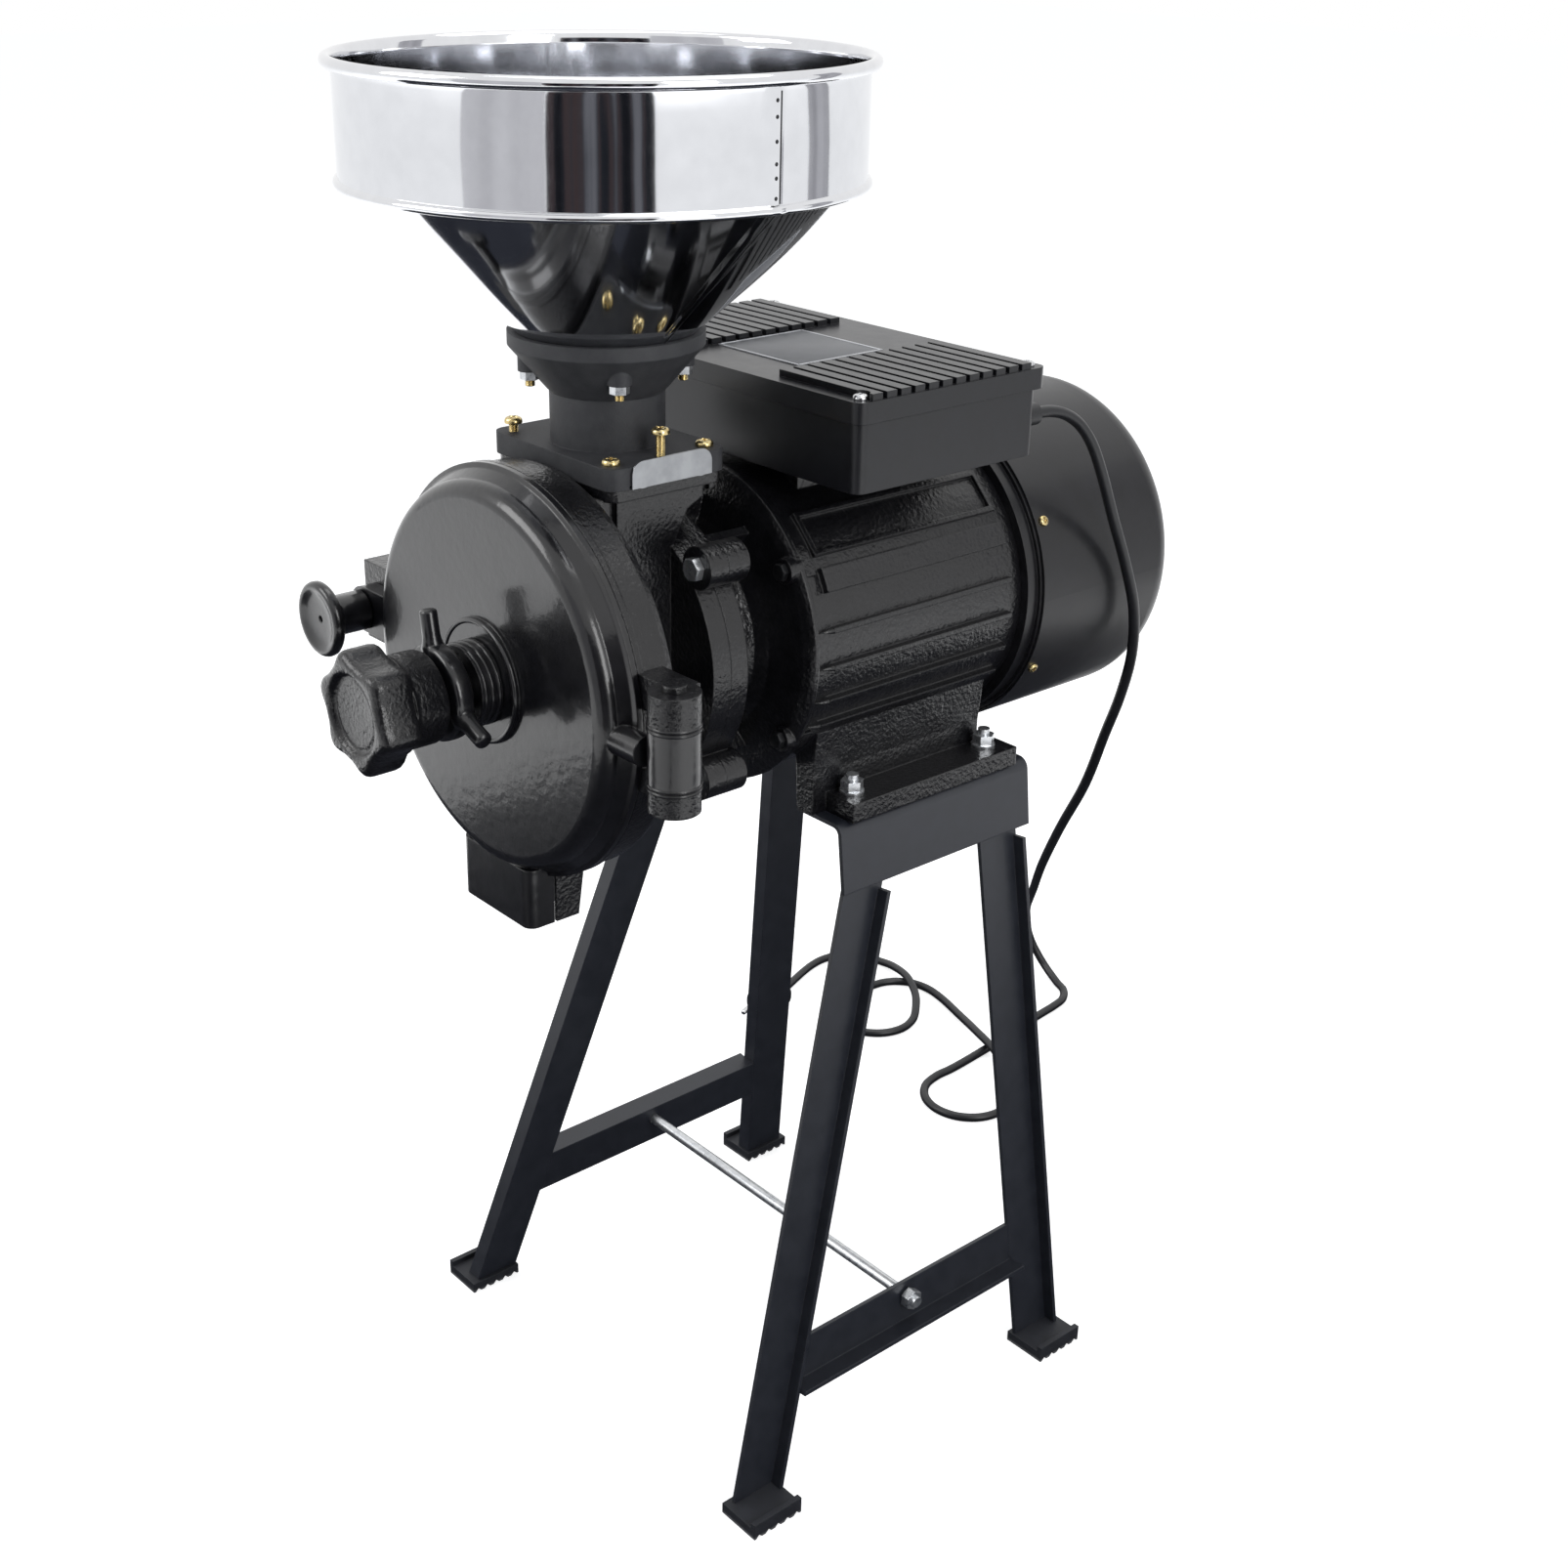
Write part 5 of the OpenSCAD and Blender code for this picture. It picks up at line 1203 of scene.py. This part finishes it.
@dataclass
class Fasteners:
    """Screws and bolts that show their heads."""

    palette: Palette
    axis_z: float = 565.0
    inlet_y: float = -111.0
    inlet: Screws = Screws("inlet_screws", "flange_screws", Head(5.4, 3.6), 2.9, 22)
    inlet_at: tuple[float, float] = (48.0, 34.0)
    inlet_turns: tuple[float, ...] = (20, 37, 51, 68)
    flange_z: float = 695.0
    proud: float = 5.0
    gate: Screws = Screws("gate_stop_screw", "gate_screw", Head(5.4, 3.6), 2.9, 23.4)
    gate_at: tuple[float, float] = (50.0, 708.0)
    hopper: Screws = Screws("hopper_screws", "hopper_bolts", Head(6.0, 3.0), 3.0, 33.9)
    hopper_r: float = 45.0
    hopper_z: float = 761.9
    hopper_turns: tuple[float, ...] = (-28, 62, 152, 242)
    head: Screws = Screws("head_bolts", "housing_bolts", Head(6.5, 5.5, across=13.0), 4.0, 28.6,
                          "zinc_plate", "zinc", 1.25, 25)
    head_at: tuple[float, float] = (74.0, 67.0)
    head_y: float = -103.5
    lid: Screws = Screws("lid_pan_screws", "lid_screws", Head(4.6, 3.0), 2.0, 22,
                         "bright_plate", "chrome_screws")
    lid_at: tuple[float, float] = (117.3, 69.8)
    lid_y: float = 50.8
    lid_z: float = 727.0
    lid_turns: tuple[float, ...] = (15, 40, 55, 80)
    fan: Screws = Screws("fan_cover_pan_screws", "fan_cover_screws", Head(3.6, 2.2), 1.5, 7, pitch=0.6)
    fan_y: float = 166.0
    fan_r: float = 112.0
    fan_turns: tuple[float, ...] = (27, 153, 207, 333)
    tie: Screws = Screws("shield_bolts", "shield_screws", Head(5.0, 4.0, across=10.0), 3.0, 28,
                         "black_steel", "dark_steel", 1.0, 25)
    tie_r: float = 97.0
    tie_y: float = -42.5
    tie_turns: tuple[float, ...] = (34, 146, 214, 326)

    def seats(self, at: tuple[float, float], y: float, z: float, turns: tuple[float, ...]) -> list:
        """Seats of four screws that point up.

        Args:
            at: half the distances between them, along x and y.
            y: the middle of the four.
            z: the height of their seats.
            turns: their turns in degrees.

        Returns:
            The place, way and turn of each.
        """
        return [((dx, y + dy, z), UP, turn) for (dx, dy), turn in zip(corners(*at), turns)]

    def feed(self) -> None:
        """Makes the screws of the inlet, its gate and the hopper."""
        seats = self.seats(self.inlet_at, self.inlet_y, self.flange_z, self.inlet_turns)
        (x, y, z), way, turn = seats[0]
        seats[0] = ((x, y, z + self.proud), way, turn)
        self.inlet.build(self.palette, seats)
        self.gate.build(self.palette, [((self.gate_at[0], self.inlet_y, self.gate_at[1]), UP, 12)])
        seats = []
        for k, t in enumerate(map(math.radians, self.hopper_turns)):
            x, y = self.hopper_r * math.cos(t), self.inlet_y + self.hopper_r * math.sin(t)
            seats.append(((x, y, self.hopper_z), UP, 23 * k))
        self.hopper.build(self.palette, seats)

    def motor(self) -> None:
        """Makes the screws of the motor's lid, its fan cover and its shields."""
        self.lid.build(self.palette, self.seats(self.lid_at, self.lid_y, self.lid_z, self.lid_turns))
        seats = []
        for k, t in enumerate(map(math.radians, self.fan_turns)):
            way = (math.cos(t), 0.0, math.sin(t))
            seats.append(((self.fan_r * way[0], self.fan_y, self.axis_z + self.fan_r * way[2]), way, 30 * k))
        self.fan.build(self.palette, seats)
        seats = [((self.tie_r * math.cos(t), self.tie_y, self.axis_z + self.tie_r * math.sin(t)), FRONT, 8)
                 for t in map(math.radians, self.tie_turns)]
        self.tie.build(self.palette, seats)

    def build(self) -> None:
        """Makes every shown fastener."""
        self.feed()
        seats = [((x, self.head_y, self.axis_z + z), FRONT, 12) for x, z in corners(*self.head_at)]
        self.head.build(self.palette, seats)
        self.motor()


@dataclass
class LabelPlate:
    """Bare plate with a bright raised border on the lid."""

    palette: Palette
    centre: tuple[float, float] = (-5.0, 44.5)
    size: tuple[float, float] = (76.0, 71.0)
    low_z: float = 727.0
    thick: float = 0.8
    border: float = 1.6
    border_edge: float = 0.15
    sunk: float = 0.25
    inset: float = 0.5
    sheet_edge: float = 0.1

    def build(self) -> None:
        """Makes the border and the bare field inside it."""
        (x, y), (w, d) = self.centre, (self.size[0] / 2, self.size[1] / 2)
        z0, z1, b, half = self.low_z, self.low_z + self.thick, self.border, self.border / 2
        border = Shape("label_border")
        for x0, y0, x1, y1 in ((x - w, y - d, x + w, y - d + b), (x - w, y + d - b, x + w, y + d),
                               (x - w, y - d + half, x - w + b, y + d - half),
                               (x + w - b, y - d + half, x + w, y + d - half)):
            border.block((x0, y0, z0), (x1, y1, z1), self.border_edge)
        border.place(self.palette.get("label_edge"), "machine", "label", "label_plate")
        w, d, z1 = w - self.inset, d - self.inset, z1 - self.sunk
        sheet = Shape("label_field").block((x - w, y - d, z0), (x + w, y + d, z1), self.sheet_edge)
        sheet.place(self.palette.get("label_metal"), "machine", "label")


def shown(tree: bpy.types.NodeTree, rays: bpy.types.Node) -> bpy.types.NodeSocket:
    """Tells whether a ray is the camera's, or one that polished or clear surfaces pass on.

    Args:
        tree: the material's or the world's node tree.
        rays: its light path node.

    Returns:
        A socket that is one for such rays.
    """
    last = rays.outputs["Is Camera Ray"]
    for name in ("Is Glossy Ray", "Is Transmission Ray"):
        most = add_node(tree, "ShaderNodeMath", operation="MAXIMUM")
        tree.links.new(last, most.inputs[0])
        tree.links.new(rays.outputs[name], most.inputs[1])
        last = most.outputs[0]
    return last


@dataclass(frozen=True)
class Card:
    """A plain card that only polished surfaces see: its corners in metres and its shades."""

    name: str
    corners: tuple[Point, ...]
    shades: tuple[str, ...]
    streak: float = 0.05
    stretch: float = 0.04
    blend: tuple[float, float] = (0.36, 0.28)

    def build(self) -> None:
        """Stands the card beside the mill."""
        mesh = bpy.data.meshes.new(self.name)
        mesh.from_pydata(self.corners, [], [(0, 1, 2, 3)])
        obj = add_object(self.name, mesh)
        obj.visible_camera = obj.visible_diffuse = obj.visible_shadow = False
        obj.visible_transmission = obj.visible_volume_scatter = False
        material, tree, surface = new_material(self.name)
        link = tree.links.new
        glow = add_node(tree, "ShaderNodeEmission", Strength=1.0)
        where = add_node(tree, "ShaderNodeTexCoord").outputs["Object"]
        upright = add_node(tree, "ShaderNodeMapping", Scale=(1, 1, self.stretch))
        noise = add_node(tree, "ShaderNodeTexNoise", Scale=1 / self.streak, Detail=2.0)
        ramp = add_node(tree, "ShaderNodeValToRGB")
        stops = ramp.color_ramp.elements
        for i, shade in enumerate(self.shades):
            at = self.blend[0] + self.blend[1] * i / max(1, len(self.shades) - 1)
            stop = stops[i] if i < 2 else stops.new(at)
            stop.position = at
            stop.color = linear(shade)
        link(where, upright.inputs["Vector"])
        link(upright.outputs["Vector"], noise.inputs["Vector"])
        link(noise.outputs["Fac"], ramp.inputs["Fac"])
        link(ramp.outputs["Color"], glow.inputs["Color"])
        link(glow.outputs["Emission"], surface)
        mesh.materials.append(material)


@dataclass(frozen=True)
class Lamp:
    """A soft rectangular lamp: its place, the point that it faces, its size in metres and power in watts."""

    name: str
    place: Point
    aim: Point
    size: tuple[float, float]
    power: float

    def build(self) -> None:
        """Hangs the lamp."""
        data = bpy.data.lights.new(self.name, "AREA")
        data.shape = "RECTANGLE"
        data.size, data.size_y = self.size
        data.energy = self.power
        obj = add_object(self.name, data)
        obj.location = self.place
        obj.rotation_euler = (Vector(self.aim) - Vector(self.place)).to_track_quat("-Z", "Y").to_euler()


@dataclass
class Studio:
    """Floor, light and camera."""

    place: Point = (0.95484, -0.82507, 1.00699)
    sensor: float = 36.0
    lens: float = 47.38
    shift: tuple[float, float] = (0.0382, -0.0137)
    yaw: float = 49.826
    pitch: float = -23.593
    roll: float = 0.574
    far: float = 100.0
    picture: int = 1024
    sky: str = "#d9dce0"
    sky_power: float = 0.45
    ground: str = "#f4f4f4"
    ground_glow: float = 0.71
    ground_half: float = 12.0
    cards: tuple[Card, ...] = (
        # dark doorway behind the camera, as the hopper's band shows it
        Card("doorway", ((0.88, -1.617, 0.0), (1.67, -0.613, 0.0), (1.67, -0.613, 1.3), (0.88, -1.617, 1.3)),
             ("#15171c", "#23262c", "#44393a", "#35373d", "#6c6d73"), streak=0.16),
        # pale grey wall to its left
        Card("wall", ((-0.2, -2.1, 0.0), (0.87, -1.63, 0.0), (0.87, -1.63, 1.6), (-0.2, -2.1, 1.6)),
             ("#c6c6ca", "#d6d6da"), streak=0.4),
        # grey edge of a wall on the right
        Card("corner", ((1.0, 1.35, 0.0), (0.62, 1.6, 0.0), (0.62, 1.6, 1.6), (1.0, 1.35, 1.6)),
             ("#a0a0a5", "#bababf"), streak=0.12),
        # painted shade: a dark card on the floor under the mill, seen only in reflections, standing in for
        # the shade the mill casts there
        Card("ground", ((-0.9, -1.2, 0.002), (0.9, -1.2, 0.002), (0.9, 0.9, 0.002), (-0.9, 0.9, 0.002)),
             ("#2b2d34", "#3b3d45"), streak=0.5),
    )
    lamps: tuple[Lamp, ...] = (
        Lamp("key", (-1.2, -2.2, 2.1), (0, 0, 0.55), (1.4, 1.4), 28),
        Lamp("side", (2.6, -0.2, 1.5), (0, 0, 0.5), (0.9, 1.8), 26),
        Lamp("top", (0.0, 0.4, 2.8), (0, 0, 0.5), (2.0, 1.6), 24),
    )

    def camera(self) -> None:
        """Sets the photograph's camera."""
        data = bpy.data.cameras.new("camera")
        data.sensor_width = self.sensor
        data.lens = self.lens
        data.shift_x, data.shift_y = self.shift
        data.clip_end = self.far
        yaw, pitch, roll = (math.radians(a) for a in (self.yaw, self.pitch, self.roll))
        look = Vector((-math.sin(yaw) * math.cos(pitch), math.cos(yaw) * math.cos(pitch), math.sin(pitch)))
        level = Vector((math.cos(yaw), math.sin(yaw), 0))
        up = level.cross(look)
        right = math.cos(roll) * level + math.sin(roll) * up
        upward = -math.sin(roll) * level + math.cos(roll) * up
        obj = add_object("camera", data)
        turn = Matrix((right, upward, -look)).transposed().to_4x4()
        obj.matrix_world = Matrix.Translation(self.place) @ turn
        bpy.context.scene.camera = obj

    def world(self) -> None:
        """Lights the scene with a soft grey surround that shows white behind the mill."""
        world = bpy.data.worlds.new("studio")
        world.use_nodes = True
        tree = world.node_tree
        tree.nodes.clear()
        link = tree.links.new
        out = add_node(tree, "ShaderNodeOutputWorld")
        rays = add_node(tree, "ShaderNodeLightPath")
        seen = add_node(tree, "ShaderNodeBackground", Color=WHITE, Strength=1.0)
        soft = add_node(tree, "ShaderNodeBackground", Color=linear(self.sky), Strength=self.sky_power)
        mix = add_node(tree, "ShaderNodeMixShader")
        link(shown(tree, rays), mix.inputs["Fac"])
        link(soft.outputs["Background"], mix.inputs[1])
        link(seen.outputs["Background"], mix.inputs[2])
        link(mix.outputs["Shader"], out.inputs["Surface"])
        bpy.context.scene.world = world

    def floor(self) -> None:
        """Lays a plain pale floor under the mill."""
        mesh = bpy.data.meshes.new("floor")
        grid = bmesh.new()
        bmesh.ops.create_grid(grid, x_segments=1, y_segments=1, size=self.ground_half)
        grid.to_mesh(mesh)
        grid.free()
        obj = add_object("floor", mesh)
        material, tree, surface = new_material("floor_paint")
        link = tree.links.new
        paint = add_node(tree, "ShaderNodeBsdfDiffuse", Color=linear(self.ground))
        glow = add_node(tree, "ShaderNodeEmission", Color=WHITE, Strength=self.ground_glow)
        both = add_node(tree, "ShaderNodeAddShader")
        rays = add_node(tree, "ShaderNodeLightPath")
        mix = add_node(tree, "ShaderNodeMixShader")
        link(paint.outputs["BSDF"], both.inputs[0])
        link(glow.outputs["Emission"], both.inputs[1])
        link(shown(tree, rays), mix.inputs["Fac"])
        link(paint.outputs["BSDF"], mix.inputs[1])
        link(both.outputs["Shader"], mix.inputs[2])
        link(mix.outputs["Shader"], surface)
        mesh.materials.append(material)

    def build(self) -> None:
        """Sets floor, surround, cards and lamps."""
        self.floor()
        self.world()
        for piece in self.cards + self.lamps:
            piece.build()
        scene = bpy.context.scene
        scene.view_settings.view_transform = "Standard"
        scene.render.resolution_x = scene.render.resolution_y = self.picture


def bow(x: float, y: float, start: float, end: float, step: float = 30.0, radius: float = 38.0) -> list:
    """Points round a loop of the cord on the floor.

    Args:
        x: centre of the loop.
        y: centre of the loop.
        start: first angle in degrees.
        end: last angle in degrees.
        step: angle between points.
        radius: radius of the loop.

    Returns:
        The points, in millimetres.
    """
    count = round(abs(end - start) / step)
    return [(*point, 4) for point in rounded((x, y), radius, start, end, count)]


ROUTE = tuple(
    [(112, 136, 694), (112.5, 150, 693.4), (113.5, 164, 689.5), (115, 177, 681), (117, 188, 667),
     (119, 198, 646), (120.5, 211, 615), (121.5, 227, 580), (121, 241, 545), (115, 251, 508), (103, 258, 472),
     (86, 266, 435), (56, 286, 380), (2, 327, 312), (-58, 380, 240), (-112, 435, 178), (-160, 487, 131),
     (-195, 526, 98), (-215, 549, 73), (-222, 560, 52), (-220, 567, 32), (-207, 571, 13)]
    + bow(-193, 529, 78, 0, 26)
    + [(-153, 510, 4), (-150, 484, 4), (-144, 440, 4), (-140, 400, 4), (-138, 372, 4)]
    + bow(-100, 352, 180, 390)
    + [(-79, 389, 6), (-100, 403, 9), (-128, 416, 12), (-165, 430, 10), (-200, 444, 6), (-232, 455, 4)]
    + bow(-255, 420, 90, 180)
    + bow(-255, 386, 180, 390)
    + [(-231, 418, 7), (-249, 435, 10), (-275, 449, 12), (-303, 458, 8)]
    + bow(-324, 422, 90, 180)
    + [(-361, 405, 4), (-355, 384, 4), (-343, 352, 4)]
)


def main() -> None:
    """Builds the scene in order."""
    studio = Studio()
    studio.camera()
    palette = Palette()
    Carried(palette).build()
    run = Vector(ROUTE[-1]) - Vector(ROUTE[-2])
    plug = Plug(palette, ROUTE[-1], (run.x, run.y, 0.0)).build()
    Cord(palette, route=ROUTE, plug=plug).build()
    Hopper(palette).build()
    HandWheel(palette).build()
    LockRing(palette).build()
    LatchKnob(palette).build()
    Thread("adjusting_thread", "ground_steel", "wheel", "dark_steel", -289.0, -194.8, 10.0, 0.8, 2.0,
           nodes=("adjusting_screw",)).build(palette)
    Thread("cover_neck", "gloss_black_paint", "cover", "head_paint", -228.7, -221.5, 15.0, 1.3, 2.4,
           bore=10.4).build(palette)
    FinTips(palette).build()
    CastBeads(palette).build()
    Fasteners(palette).build()
    LabelPlate(palette).build()
    studio.build()


if __name__ == "__main__":
    main()
